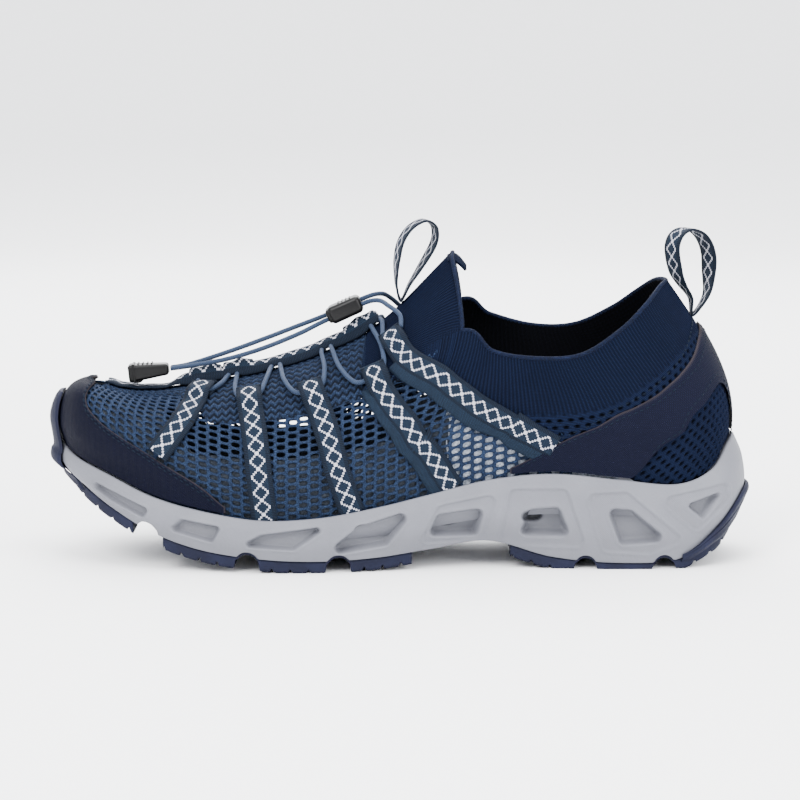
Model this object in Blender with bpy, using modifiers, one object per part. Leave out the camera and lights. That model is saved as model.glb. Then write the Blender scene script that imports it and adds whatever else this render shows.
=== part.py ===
"""Slip-on water shoe for the left foot, built as the separate pieces a maker would put together.

Units are metres and +Z is up. The toe points along -X, the outer side of the foot is -Y and the
origin is on the ground under the middle of the heel. Tables hold one row for each section of the
shoe, from the toe to the heel, and their columns are shares of the named sizes below.
"""
from collections import namedtuple
from math import radians, sqrt

import bmesh
import bpy
from mathutils import Matrix, Vector

MM = 0.001

# Overall sizes of the shoe
LENGTH = 296 * MM
HEEL_REST = 0.824
OUTER_HALF = 51.5 * MM
INNER_HALF = 50.5 * MM
SIDE_HEIGHT = 40 * MM
TONGUE_HEIGHT = 127.5 * MM

# Walls, clearances and sole details
GAP = 0.3 * MM
SKIN_GAP = 0.6 * MM
STRAP_GAP = 0.75 * MM
UPPER_WALL = 1.8 * MM
OVERLAY_WALL = 1.1 * MM
RUBBER = 4.7 * MM
RUBBER_THIN = 0.9 * MM
REST_FLAT = 0.5 * MM
RUBBER_WRAP = 2.6 * MM
BUMPER_GAP = 0.9 * MM
RUBBER_INSET = 0.8 * MM
TUCK = 5 * MM
LEAN = 5 * MM
LIP = 2.2 * MM
CUP_SLOPE = 0.8 * MM
CROWN = 1.2 * MM
INSOLE_THICKNESS = 3.5 * MM
BITE_CLEAR = 1.4 * MM
HUMP_FLAT = 5 * MM
HUMP_FALL = 6.5 * MM

# Tread: where its parts start and end, its heel thickness and its lugs across the sole
TOE_TREAD_END = 0.122
FORE_TREAD = (0.166, 0.516)
HEEL_TREAD_START = 0.652
RUBBER_HEEL = 6.0 * MM
HEEL_ROUND = 13.3
WRAP_START = 13.1
WRAP_RISE = 1.1
WRAP_END = 0.14
WRAP_FADE = 0.6
FORE_ACROSS = [(-1, 1), (-0.3, 1), (-0.22, 0), (0.22, 0), (0.3, 1), (1, 1)]
HEEL_ACROSS = [(-1, 1), (-0.46, 1), (-0.4, 0), (-0.3, 0), (-0.24, 1), (0.24, 1), (0.3, 0),
               (0.4, 0), (0.46, 1), (1, 1)]

# Underside edge, bulge and top rim of the sole, and its foot bed
SoleRow = namedtuple("SoleRow", "along outer inner under rim bed tuck lean")
SOLE = [
    SoleRow(0.011, -0.097, 0.099, 0.925, 1.175, 1.000, 1.000, 0.300),
    SoleRow(0.022, 0.175, 0.356, 0.887, 1.125, 0.975, 1.000, 0.320),
    SoleRow(0.047, 0.427, 0.564, 0.775, 1.050, 0.900, 0.900, 0.360),
    SoleRow(0.091, 0.641, 0.743, 0.600, 0.932, 0.738, 0.700, 0.400),
    SoleRow(0.152, 0.816, 0.861, 0.380, 0.750, 0.537, 0.600, 0.400),
    SoleRow(0.223, 0.932, 0.950, 0.227, 0.625, 0.412, 0.500, 0.400),
    SoleRow(0.304, 0.996, 1.000, 0.150, 0.542, 0.338, 0.440, 0.400),
    SoleRow(0.385, 0.986, 0.970, 0.123, 0.562, 0.325, 0.440, 0.400),
    SoleRow(0.466, 0.922, 0.881, 0.148, 0.657, 0.362, 0.520, 0.400),
    SoleRow(0.541, 0.854, 0.778, 0.215, 0.782, 0.438, 0.800, 0.400),
    SoleRow(0.622, 0.804, 0.713, 0.290, 0.922, 0.525, 0.900, 0.440),
    SoleRow(0.709, 0.792, 0.713, 0.125, 0.980, 0.562, 0.600, 0.480),
    SoleRow(0.801, 0.812, 0.749, 0.070, 0.922, 0.550, 0.440, 0.520),
    SoleRow(0.885, 0.786, 0.739, 0.100, 0.870, 0.550, 0.520, 0.640),
    SoleRow(0.943, 0.650, 0.614, 0.300, 1.000, 0.588, 0.800, 0.840),
    SoleRow(0.976, 0.388, 0.366, 0.425, 1.225, 0.650, 1.200, 1.000),
    SoleRow(0.989, 0.000, 0.000, 0.450, 1.275, 0.675, 1.300, 1.040),
]

# Widest line of the upper's side, as an inset from the sole, and its shoulder or collar rim
SIDE_INSET = 5 * MM
UpperRow = namedtuple("UpperRow", "inset side_up along outer inner outer_up inner_up")
UPPER = [
    UpperRow(0.300, 0.447, 0.032, -0.078, 0.079, 0.545, 0.545),
    UpperRow(0.300, 0.439, 0.037, 0.146, 0.277, 0.544, 0.544),
    UpperRow(0.360, 0.424, 0.056, 0.330, 0.455, 0.533, 0.533),
    UpperRow(0.440, 0.392, 0.095, 0.495, 0.584, 0.498, 0.498),
    UpperRow(0.500, 0.353, 0.152, 0.602, 0.634, 0.478, 0.478),
    UpperRow(0.500, 0.329, 0.223, 0.660, 0.653, 0.486, 0.486),
    UpperRow(0.500, 0.314, 0.304, 0.670, 0.653, 0.514, 0.514),
    UpperRow(0.560, 0.329, 0.385, 0.641, 0.624, 0.557, 0.561),
    UpperRow(0.640, 0.361, 0.466, 0.602, 0.584, 0.627, 0.635),
    UpperRow(0.700, 0.424, 0.583, 0.641, 0.634, 0.771, 0.816),
    UpperRow(0.700, 0.455, 0.628, 0.689, 0.703, 0.705, 0.765),
    UpperRow(0.700, 0.471, 0.689, 0.699, 0.713, 0.682, 0.725),
    UpperRow(0.700, 0.455, 0.750, 0.680, 0.693, 0.694, 0.729),
    UpperRow(0.800, 0.447, 0.804, 0.621, 0.634, 0.771, 0.788),
    UpperRow(1.000, 0.455, 0.840, 0.505, 0.515, 0.847, 0.851),
    UpperRow(1.300, 0.471, 0.863, 0.272, 0.277, 0.898, 0.898),
    UpperRow(1.460, 0.455, 0.875, 0.000, 0.000, 0.908, 0.908),
]

# Ridge of the vamp from the toe to the peak of the tongue
RidgeRow = namedtuple("RidgeRow", "along aside up")
RIDGE = [
    RidgeRow(0.064, 0.069, 0.575),
    RidgeRow(0.069, 0.069, 0.574),
    RidgeRow(0.084, 0.065, 0.565),
    RidgeRow(0.115, 0.059, 0.547),
    RidgeRow(0.162, 0.050, 0.547),
    RidgeRow(0.230, 0.040, 0.573),
    RidgeRow(0.311, 0.030, 0.608),
    RidgeRow(0.392, 0.020, 0.671),
    RidgeRow(0.473, 0.010, 0.774),
    RidgeRow(0.571, 0.000, 1.000),
]

# Flex grooves that cross the sole: middle along the shoe, half width and height of their tops
FlexRow = namedtuple("FlexRow", "along radius top")
FLEX = [
    FlexRow(0.142, 5.0 * MM, 20.0 * MM),
    FlexRow(0.286, 5.0 * MM, 9.0 * MM),
    FlexRow(0.414, 5.0 * MM, 7.6 * MM),
    FlexRow(0.756, 4.5 * MM, 5.8 * MM),
    FlexRow(0.866, 4.5 * MM, 6.0 * MM),
]

# Windows of the sole's side: corners as shares of the length and of the side's height, with depth
WindowRow = namedtuple("WindowRow", "name depth corners")
WINDOWS = [
    WindowRow("slot", 3.0 * MM, [(0.071, 0.844), (0.151, 0.638), (0.141, 0.540), (0.092, 0.704)]),
    WindowRow("toe", 3.5 * MM, [(0.177, 0.432), (0.196, 0.553), (0.252, 0.485), (0.239, 0.316)]),
    WindowRow("ball", 4.0 * MM, [(0.282, 0.295), (0.306, 0.411), (0.391, 0.468), (0.352, 0.245)]),
    WindowRow("arch", 6.0 * MM, [(0.402, 0.217), (0.440, 0.481), (0.513, 0.620), (0.481, 0.273)]),
    WindowRow("waist_panel", 0.7 * MM,
              [(0.520, 0.269), (0.550, 0.685), (0.636, 0.809), (0.615, 0.286)]),
    WindowRow("waist", 7.0 * MM, [(0.538, 0.375), (0.553, 0.562), (0.611, 0.585), (0.601, 0.367)]),
    WindowRow("heel_panel", 0.7 * MM,
              [(0.634, 0.243), (0.650, 0.848), (0.730, 0.848), (0.759, 0.226)]),
    WindowRow("heel", 8.0 * MM, [(0.660, 0.345), (0.678, 0.633), (0.719, 0.654), (0.736, 0.342)]),
    WindowRow("back_panel", 0.7 * MM,
              [(0.755, 0.798), (0.813, 0.819), (0.898, 0.292), (0.845, 0.153), (0.779, 0.185)]),
    WindowRow("back", 6.0 * MM, [(0.783, 0.647), (0.819, 0.626), (0.871, 0.301), (0.803, 0.251)]),
    WindowRow("tail_panel", 0.7 * MM,
              [(0.851, 0.746), (0.958, 0.885), (0.959, 0.677), (0.910, 0.372)]),
    WindowRow("tail", 4.5 * MM, [(0.893, 0.669), (0.948, 0.773), (0.921, 0.503)]),
]
WINDOW_DRAFT = 0.8
CORNER_BLUNT = 0.24
WINDOW_REACH = 6 * MM
WINDOW_EDGE = 0.3 * MM

# Edge of the toe cap and the edges of the heel counter: row of the sole and level of the upper
EdgeRow = namedtuple("EdgeRow", "row level")
TOE_CAP_EDGE = [
    EdgeRow(0.00, 3.75), EdgeRow(1.00, 3.70), EdgeRow(1.55, 3.62), EdgeRow(1.90, 3.42),
    EdgeRow(2.05, 3.05), EdgeRow(2.20, 2.78), EdgeRow(2.84, 2.51), EdgeRow(3.41, 2.32),
    EdgeRow(3.88, 2.17), EdgeRow(4.34, 1.96), EdgeRow(4.87, 1.69), EdgeRow(5.21, 1.42),
    EdgeRow(5.42, 1.15),
]
COUNTER_TOP = [
    EdgeRow(10.32, 1.15), EdgeRow(10.83, 1.42), EdgeRow(11.19, 1.70), EdgeRow(11.60, 1.98),
    EdgeRow(11.99, 2.19), EdgeRow(12.60, 2.32), EdgeRow(13.19, 2.42), EdgeRow(13.80, 2.48),
    EdgeRow(14.44, 2.53), EdgeRow(15.20, 2.60), EdgeRow(16.00, 2.67),
]
COUNTER_LOW = [
    EdgeRow(10.32, 1.00), EdgeRow(12.20, 1.00), EdgeRow(12.30, 1.15), EdgeRow(12.60, 1.70),
    EdgeRow(13.34, 2.12), EdgeRow(14.20, 2.24), EdgeRow(14.76, 2.27), EdgeRow(15.15, 2.20),
    EdgeRow(15.35, 1.95), EdgeRow(15.50, 1.40), EdgeRow(15.60, 1.00), EdgeRow(16.00, 1.00),
]

# Tape straps of each side: rows and levels of the middle line, from the top down
STRAPS = [
    [(4.96, 3.56), (4.62, 2.92), (4.12, 2.19)],
    [(5.80, 3.28), (5.97, 2.30), (6.09, 1.00)],
    [(6.86, 3.16), (7.24, 2.27), (7.60, 1.00)],
    [(7.96, 3.05), (8.08, 2.74), (8.30, 2.44), (8.60, 2.17), (8.94, 1.84), (9.16, 1.44), (9.38, 1.00)],
    [(8.18, 3.39), (8.36, 2.98), (8.64, 2.70), (9.08, 2.48), (9.62, 2.34), (10.08, 2.17),
     (10.50, 1.92), (11.02, 1.53)],
]
STRAP_WIDTH = 10.5 * MM
STRAP_STEPS = 14
STRAP_SETBACK = 0.03

# Throat ribbon along the ridge, from the toe cap to the tongue, raised to let the lace pass below
RIBBON_START = 2.05
RIBBON_RAISE = (4.1, 4.6)
RIBBON_END = 8.0
RIBBON_STEPS = 18
RIBBON_WIDTH = 10.4 * MM
RIBBON_WALL = 2.0 * MM

# Elastic lace of each side: row, level and height above the upper, from the toe to the collar
LACE_DIAMETER = 2.0 * MM
LACE_LIFT = 2.75 * MM
LACE_HEIGHT = 1.55 * MM
LacePoint = namedtuple("LacePoint", "row level")
LACE = [
    LacePoint(4.78, 3.90), LacePoint(4.80, 3.72), LacePoint(4.86, 3.52), LacePoint(5.08, 3.46),
    LacePoint(5.26, 3.58), LacePoint(5.33, 3.80), LacePoint(5.38, 3.93), LacePoint(5.47, 3.93),
    LacePoint(5.50, 3.74), LacePoint(5.53, 3.42), LacePoint(5.62, 3.24), LacePoint(5.80, 3.20),
    LacePoint(5.98, 3.24), LacePoint(6.05, 3.48), LacePoint(6.08, 3.78), LacePoint(6.12, 3.93),
    LacePoint(6.21, 3.93), LacePoint(6.26, 3.74), LacePoint(6.38, 3.38), LacePoint(6.60, 3.12),
    LacePoint(6.86, 3.07), LacePoint(7.06, 3.12), LacePoint(7.08, 3.38), LacePoint(6.98, 3.76),
    LacePoint(7.01, 3.93), LacePoint(7.11, 3.93), LacePoint(7.17, 3.72), LacePoint(7.38, 3.28),
    LacePoint(7.68, 2.98), LacePoint(7.94, 2.95), LacePoint(8.10, 3.02), LacePoint(8.06, 3.32),
    LacePoint(7.88, 3.76), LacePoint(7.85, 3.92), LacePoint(7.95, 3.95), LacePoint(8.04, 3.75),
    LacePoint(8.08, 3.42), LacePoint(8.16, 3.29), LacePoint(8.27, 3.34),
]
LACE_SPACING = 4.4 * MM

# Cord lock and end clip on the free lace: place as shares along the shoe and of the tongue's
# height, size and rise towards the heel
LOCK_PLACE = (0.4210, 0.8102)
LOCK_SIZE = (14.5 * MM, 11.0 * MM, 7.6 * MM)
LOCK_RISE = radians(24)
LOCK_BORE = 2.8 * MM
BORE_ASIDE = 2.4 * MM
BORE_UP = 0.9 * MM
CLIP_PLACE = (0.1422, 0.6055)
CLIP_SIZE = (17.0 * MM, 9.0 * MM, 7.6 * MM)
CLIP_RISE = radians(7)
CLIP_TAPER = 0.62
CLIP_BEVEL = 1.3 * MM
CLIP_HOOK = (0.1264, 0.5741)
HOOK_RADIUS = 1.2 * MM
HOOK_LENGTH = 3.6 * MM

# Free lace through the cord lock to the end clip: share along the shoe, millimetres aside and
# share of the tongue's height
FREE_LACE = {
    "free_lace_outer": [
        (0.1733, -1.90, 0.6149), (0.2010, -2.30, 0.6243), (0.2520, -2.50, 0.6463), (0.3031, -2.50, 0.6816),
        (0.3541, -2.50, 0.7294), (0.3879, -2.40, 0.7686), (0.4220, -2.40, 0.8047), (0.4527, -2.40, 0.8361),
        (0.4693, -4.50, 0.8416), (0.4808, -8.50, 0.8298),
    ],
    "free_lace_inner": [
        (0.1733, 1.90, 0.6149), (0.2000, 2.30, 0.6259), (0.2510, 2.50, 0.6635), (0.3024, 2.50, 0.7067),
        (0.3534, 2.50, 0.7522), (0.3875, 2.40, 0.7827), (0.4199, 2.40, 0.8165), (0.4517, 2.40, 0.8486),
        (0.4693, 4.80, 0.8565), (0.4808, 9.00, 0.8455),
    ],
}
FREE_LACE_END = 8.30
FREE_LACE_END_LEVEL = 3.37

# Pull loops of tape: shares along the shoe and of the tongue's height, from the seam round the
# loop, and how far each is turned
LOOP_WIDTH = 10.0 * MM
LOOP_WALL = 1.0 * MM
FRONT_LOOP_TURN = radians(15)
HEEL_LOOP_TURN = radians(32)
FRONT_LOOP = [
    (0.4995, 0.8388), (0.4933, 0.8824), (0.4922, 0.9255), (0.4936, 0.9741), (0.4993, 1.0322),
    (0.5132, 1.0776), (0.5328, 1.0996), (0.5463, 1.0847), (0.5497, 1.0541), (0.5463, 1.0196),
    (0.5375, 0.9835), (0.5240, 0.9365), (0.5112, 0.8910),
]
HEEL_LOOP = [
    (0.9112, 0.7918), (0.9081, 0.8471), (0.8949, 0.8902), (0.8835, 0.9302), (0.8767, 0.9741),
    (0.8747, 1.0212), (0.8828, 1.0588), (0.9004, 1.0745), (0.9199, 1.0588), (0.9335, 1.0212),
    (0.9395, 0.9710), (0.9368, 0.9145), (0.9301, 0.8518),
]

LAST = len(SOLE) - 1
PEAK = len(RIDGE) - 1
ROUND = 2 * LAST


def x_at(share):
    """Place along the shoe, from a share of its length behind the toe."""
    return (share - HEEL_REST) * LENGTH


def middle_at(place):
    """Point in the shoe's middle plane, from shares of its length and of the tongue's height."""
    along, up = place
    return Vector((x_at(along), 0, up * TONGUE_HEIGHT))


def catmull(before, start, end, after, t):
    """Point on a smooth curve between start and end."""
    lead = (end - before) * 0.5
    trail = (after - start) * 0.5
    return (start * (2 * t ** 3 - 3 * t ** 2 + 1) + lead * (t ** 3 - 2 * t ** 2 + t)
            + end * (3 * t ** 2 - 2 * t ** 3) + trail * (t ** 3 - t ** 2))


def bend(points, t):
    """Point between the middle two of four points that may lie unevenly far apart."""
    before, start, end, after = points
    lead, span, trail = start - before, end - start, after - end
    a, b, c = max(lead.length, MM), max(span.length, MM), max(trail.length, MM)
    leaving = (lead * (b / a) + span * (a / b)) / (a + b) * b
    arriving = (span * (c / b) + trail * (b / c)) / (b + c) * b
    return (start * (2 * t ** 3 - 3 * t ** 2 + 1) + leaving * (t ** 3 - 2 * t ** 2 + t)
            + end * (3 * t ** 2 - 2 * t ** 3) + arriving * (t ** 3 - t ** 2))


def around(points, place):
    """Point at a place on a closed loop of control points."""
    base = int(place // 1)
    count = len(points)
    before, start, end, after = (points[(base + k) % count] for k in (-1, 0, 1, 2))
    return catmull(before, start, end, after, place - base)


def sole_rows():
    """Rows and sides in loop order: down the outer side to the heel and back up the inner side."""
    outer = [(row, -1) for row in range(LAST + 1)]
    inner = [(row, 1) for row in range(LAST - 1, 0, -1)]
    return outer + inner


def outline_loop():
    """Control points of the sole's widest line, seen from above."""
    points = []
    for row, side in sole_rows():
        sole = SOLE[row]
        half = sole.outer * OUTER_HALF if side < 0 else sole.inner * INNER_HALF
        points.append(Vector((x_at(sole.along), side * half, 0)))
    return points


OUTLINE = outline_loop()


def outward(index):
    """Level direction that points out of the sole at one control point."""
    run = OUTLINE[(index + 1) % ROUND] - OUTLINE[index - 1]
    return Vector((-run.y, run.x, 0)).normalized() * -1


def level_loop(inset, height):
    """Loop at an inset from the widest line, with inset and height as functions of the row."""
    points = []
    for index, (row, _side) in enumerate(sole_rows()):
        point = OUTLINE[index] - outward(index) * inset(row)
        points.append(Vector((point.x, point.y, height(row))))
    return points


def rim_inset(row):
    """Inset of the rim's outer edge."""
    return SOLE[row].lean * LEAN


def rim_height(row):
    """Height of the sole's top rim."""
    return SOLE[row].rim * SIDE_HEIGHT


def bed_height(row):
    """Height of the foot bed inside the sole."""
    return SOLE[row].bed * SIDE_HEIGHT


def under_height(row):
    """Height of the midsole's underside at its edge."""
    return SOLE[row].under * SIDE_HEIGHT


LOW_BULGE = 0.35
HIGH_BULGE = 0.72
UNDER = level_loop(lambda row: SOLE[row].tuck * TUCK, under_height)
BULGE = level_loop(lambda row: 0.12 * SOLE[row].tuck * TUCK,
                   lambda row: under_height(row) * (1 - LOW_BULGE) + rim_height(row) * LOW_BULGE)
WAIST = level_loop(lambda row: 0.3 * rim_inset(row),
                   lambda row: under_height(row) * (1 - HIGH_BULGE) + rim_height(row) * HIGH_BULGE)
RIM = level_loop(rim_inset, rim_height)
RIM_TOP = level_loop(lambda row: rim_inset(row) + 0.35 * LIP, lambda row: rim_height(row) + 0.35 * MM)
LIP_IN = level_loop(lambda row: rim_inset(row) + LIP, lambda row: rim_height(row) - 0.6 * MM)
BED = level_loop(lambda row: rim_inset(row) + LIP + CUP_SLOPE, bed_height)

UPPER_BASE = level_loop(lambda row: rim_inset(row) + LIP + CUP_SLOPE + GAP,
                        lambda row: bed_height(row) + GAP)
UPPER_BITE = level_loop(lambda row: rim_inset(row) + LIP + GAP, rim_height)


def side_loop():
    """Widest line of the upper's side."""
    return level_loop(lambda row: UPPER[row].inset * SIDE_INSET,
                      lambda row: UPPER[row].side_up * TONGUE_HEIGHT)


def shoulder_loop():
    """Shoulder of the vamp, which runs on as the rim of the collar."""
    points = []
    for row, side in sole_rows():
        upper = UPPER[row]
        half = upper.outer * OUTER_HALF if side < 0 else upper.inner * INNER_HALF
        rise = upper.outer_up if side < 0 else upper.inner_up
        points.append(Vector((x_at(upper.along), side * half, rise * TONGUE_HEIGHT)))
    return points


UPPER_SIDE = side_loop()
SHOULDER = shoulder_loop()
RIDGE_LINE = [Vector((x_at(row.along), row.aside * INNER_HALF, row.up * TONGUE_HEIGHT))
              for row in RIDGE]


def ridge_at(row):
    """Point on the vamp's ridge beside a row of the sole."""
    base = min(int(row), PEAK - 1)
    start, end = RIDGE_LINE[base], RIDGE_LINE[base + 1]
    before = RIDGE_LINE[abs(base - 1)]
    after = RIDGE_LINE[base + 2] if base + 2 <= PEAK else end * 2 - start
    return catmull(before, start, end, after, row - base)


def row_of(place):
    """Row of the sole beside a place on the loop."""
    place = place % ROUND
    return min(place, ROUND - place)


def ease(share):
    """Smooth step from 0 to 1."""
    share = min(max(share, 0.0), 1.0)
    return share * share * (3 - 2 * share)


def level_out(place):
    """Level direction out of the sole at any place on the loop."""
    run = around(OUTLINE, place + 0.05) - around(OUTLINE, place - 0.05)
    return Vector((run.y, -run.x, 0)).normalized()


COLLAR_EASE = 2.0
HEEL_LEAN = 12 * MM


def upper_point(place, level):
    """Point on the upper's outside. Levels: 0 base, 1 bite line, 2 side, 3 shoulder, 4 ridge."""
    row = row_of(place)
    points = [around(loop, place) for loop in (UPPER_BASE, UPPER_BITE, UPPER_SIDE, SHOULDER)]
    shoulder = points[3]
    if row <= PEAK:
        points.append(ridge_at(row))
    else:
        corner = around(SHOULDER, PEAK if place % ROUND < LAST else ROUND - PEAK)
        closing = RIDGE_LINE[PEAK] - corner
        straight = (shoulder - points[2]) * 0.5
        straight -= level_out(place) * HEEL_LEAN * ease((row - LAST) / COLLAR_EASE + 1)
        points.append(shoulder + closing.lerp(straight, ease((row - PEAK) / COLLAR_EASE)))
    across = around(SHOULDER, ROUND - place % ROUND)
    points.append(across if row <= PEAK else points[4])
    points.insert(0, points[0] * 2 - points[1])
    base = min(int(level), 3)
    return bend(points[base:base + 4], level - base)


def upper_normal(place, level):
    """Direction that points out of the upper."""
    step = 0.02
    low, high = max(level - step, 0), min(level + step, 4)
    along = upper_point(place + step, level) - upper_point(place - step, level)
    up = upper_point(place, high) - upper_point(place, low)
    return along.cross(up).normalized()


def material(name, colour, roughness, metallic=0.0):
    """Plain Principled material for one sub-part."""
    found = bpy.data.materials.new(name)
    found.use_nodes = True
    shader = found.node_tree.nodes["Principled BSDF"]
    shader.inputs["Base Color"].default_value = (*colour, 1)
    shader.inputs["Roughness"].default_value = roughness
    shader.inputs["Metallic"].default_value = metallic
    found.diffuse_color = (*colour, 1)
    return found


def object_from(bm, name, finish, collection):
    """Turn a bmesh into a named object."""
    mesh = bpy.data.meshes.new(name)
    bm.to_mesh(mesh)
    bm.free()
    mesh.materials.append(finish)
    mesh.shade_smooth()
    made = bpy.data.objects.new(name, mesh)
    collection.objects.link(made)
    return made


def solidify(piece, thickness, offset):
    """Give an open surface its wall."""
    wall = piece.modifiers.new("wall", "SOLIDIFY")
    wall.thickness = thickness
    wall.offset = offset
    wall.use_even_offset = True
    wall.use_rim = True


# Number of steps between two rows, and the levels at which the upper has a line of points
ROW_STEPS = 2
SIDE_LEVELS = [0, 1, 1.5, 2, 2.33, 2.67, 3]
TOP_LEVELS = [3.25, 3.5, 3.75, 4]


def build_upper(finish, collection):
    """Hollow upper with its tongue, open at the collar and underneath."""
    bm = bmesh.new()
    made = {}

    def vertex(side, column, level):
        row = column / ROW_STEPS
        shared = column in (0, LAST * ROW_STEPS) or level == 4
        key = (0 if shared else side, column, level)
        if key not in made:
            place = row if side < 0 else ROUND - row
            made[key] = bm.verts.new(upper_point(place, level))
        return made[key]

    for side in (-1, 1):
        for column in range(LAST * ROW_STEPS):
            top = SIDE_LEVELS + (TOP_LEVELS if column < PEAK * ROW_STEPS else [])
            for low, high in zip(top, top[1:]):
                corners = [vertex(side, column, low), vertex(side, column + 1, low),
                           vertex(side, column + 1, high), vertex(side, column, high)]
                bm.faces.new(corners if side < 0 else corners[::-1])
    piece = object_from(bm, "upper", finish, collection)
    solidify(piece, UPPER_WALL, -1)
    return piece


def flex_top(x):
    """Height of a flex groove at a place along the shoe, or nothing between grooves."""
    for groove in FLEX:
        away = x - x_at(groove.along)
        if abs(away) <= groove.radius:
            return groove.top - groove.radius + sqrt(groove.radius ** 2 - away ** 2)
    return -1.0


def row_at_x(x):
    """Row of the sole whose widest line is at a place along the shoe."""
    low, high = 0.0, float(LAST)
    for _ in range(40):
        middle = (low + high) / 2
        if around(OUTLINE, middle).x < x:
            low = middle
        else:
            high = middle
    return low


def sole_stations():
    """Rows at which the sole has a section: even steps, and the edges and middle of each groove."""
    stations = [step / 2 for step in range(2 * LAST + 1)]
    for groove in FLEX:
        marks = [row_at_x(x_at(groove.along) + groove.radius * share)
                 for share in (-1.02, -0.97, -0.6, 0.6, 0.97, 1.02)]
        stations = [row for row in stations if row < marks[0] - 0.2 or row > marks[-1] + 0.2]
        stations += marks
    for share in (TOE_TREAD_END, *FORE_TREAD, HEEL_TREAD_START):
        mark = row_at_x(x_at(share))
        stations = [row for row in stations if abs(row - mark) > 0.2] + [mark]
    return sorted(stations)


STATIONS = sole_stations()


def under_point(row, share):
    """Point on the midsole's underside, with share from -1 at the outer edge to 1 at the inner."""
    outer, inner = around(UNDER, row), around(UNDER, ROUND - row)
    point = outer.lerp(inner, (share + 1) / 2)
    point.z = max(point.z, flex_top(around(OUTLINE, row).x))
    point.z -= CROWN * (1 - share * share) * ease(row / 2) * ease((LAST - row) / 2)
    return point


def bed_point(row, share):
    """Point on the foot bed, with share from -1 at the outer edge to 1 at the inner."""
    return around(BED, row).lerp(around(BED, ROUND - row), (share + 1) / 2)


ACROSS = [-1, -0.3, 0.3, 1]


def close_strip(bm, rings):
    """Join neighbouring closed rings of vertices with faces."""
    for ring, following in zip(rings, rings[1:]):
        for a, b, c, d in zip(ring, ring[1:] + ring[:1], following[1:] + following[:1], following):
            corners = []
            for corner in (a, b, c, d):
                if corner not in corners:
                    corners.append(corner)
            if len(corners) > 2:
                bm.faces.new(corners)


def build_midsole(finish, collection):
    """Foam midsole with a cup for the upper."""
    bm = bmesh.new()
    rings = []
    rows = STATIONS
    for row in rows:
        ring = []
        for share in ACROSS:
            ring.append(under_point(row, share))
        for loop in (BULGE, WAIST, RIM, RIM_TOP, LIP_IN):
            ring.append(around(loop, ROUND - row))
        for share in reversed(ACROSS):
            ring.append(bed_point(row, share))
        for loop in (LIP_IN, RIM_TOP, RIM, WAIST, BULGE):
            ring.append(around(loop, row))
        rings.append([bm.verts.new(point) for point in ring])
    close_strip(bm, rings)
    bmesh.ops.remove_doubles(bm, verts=bm.verts, dist=1e-6)
    bmesh.ops.recalc_face_normals(bm, faces=bm.faces)
    return object_from(bm, "midsole", finish, collection)


def plate(name, inner, outer, finish, collection):
    """Closed piece between two grids of points, one on its inside and one on its outside."""
    bm = bmesh.new()
    under = [[bm.verts.new(point) for point in row] for row in inner]
    over = [[bm.verts.new(point) for point in row] for row in outer]
    rows, columns = len(inner), len(inner[0])
    for i in range(rows - 1):
        for j in range(columns - 1):
            for grid in (under, over):
                bm.faces.new((grid[i][j], grid[i + 1][j], grid[i + 1][j + 1], grid[i][j + 1]))
    edge = ([(i, 0) for i in range(rows - 1)] + [(rows - 1, j) for j in range(columns - 1)]
            + [(i, columns - 1) for i in range(rows - 1, 0, -1)]
            + [(0, j) for j in range(columns - 1, 0, -1)])
    for (i, j), (k, m) in zip(edge, edge[1:] + edge[:1]):
        bm.faces.new((under[i][j], under[k][m], over[k][m], over[i][j]))
    bmesh.ops.remove_doubles(bm, verts=bm.verts, dist=1e-6)
    bmesh.ops.recalc_face_normals(bm, faces=bm.faces)
    return object_from(bm, name, finish, collection)


def walk(place, level, move):
    """Place and level reached by a short move over the upper."""
    step = 0.02
    low, high = max(level - step, 0), min(level + step, 4)
    along = (upper_point(place + step, level) - upper_point(place - step, level)) / (2 * step)
    up = (upper_point(place, high) - upper_point(place, low)) / (high - low)
    square, mixed, upright = along.dot(along), along.dot(up), up.dot(up)
    right, rise = move.dot(along), move.dot(up)
    scale = square * upright - mixed * mixed
    return (place + (right * upright - rise * mixed) / scale,
            min(level + (rise * square - right * mixed) / scale, 4))


def raised(place, level, height):
    """Point at a height above the upper."""
    return upper_point(place, level) + upper_normal(place, level) * height


def edge_level(rows, row):
    """Level of an edge beside a row of the sole, straight between its table's rows."""
    for low, high in zip(rows, rows[1:]):
        if low.row <= row <= high.row:
            share = (row - low.row) / (high.row - low.row)
            return low.level + (high.level - low.level) * share
    return 0.0


def bite_level(place):
    """Lowest level at which an overlay clears the sole's rim."""
    bite, side = around(UPPER_BITE, place), around(UPPER_SIDE, place)
    return 1 + BITE_CLEAR / (side.z - bite.z)


def free_level(place):
    """Lowest level at which a strap clears the rim, the toe cap and the heel counter."""
    row = row_of(place)
    edges = [bite_level(place)]
    for rows in (TOE_CAP_EDGE, COUNTER_TOP):
        edges.append(edge_level(rows, row) + STRAP_SETBACK)
    return max(edges)


def overlay(name, places, low, high, steps, finish, collection):
    """Overlay on the upper between two edges, given as functions of the place on the loop."""
    inner, outer = [], []
    for place in places:
        bottom, top = max(low(place), bite_level(place)), high(place)
        levels = [bottom + (top - bottom) * step / steps for step in range(steps + 1)]
        inner.append([raised(place, level, SKIN_GAP) for level in levels])
        outer.append([raised(place, level, SKIN_GAP + OVERLAY_WALL) for level in levels])
    return plate(name, inner, outer, finish, collection)


def build_toe_cap(finish, collection):
    """Toe cap round the front of the upper."""
    rows = [0.5, 1.0, 1.5, 1.9, 2.05, 2.2, 2.6, 3.0, 3.5, 4.0, 4.5, 5.0, 5.4]
    places = [-row for row in reversed(rows)] + [0] + rows
    return overlay("toe_cap", places, bite_level,
                   lambda place: edge_level(TOE_CAP_EDGE, abs(place)), 8, finish, collection)


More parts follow.
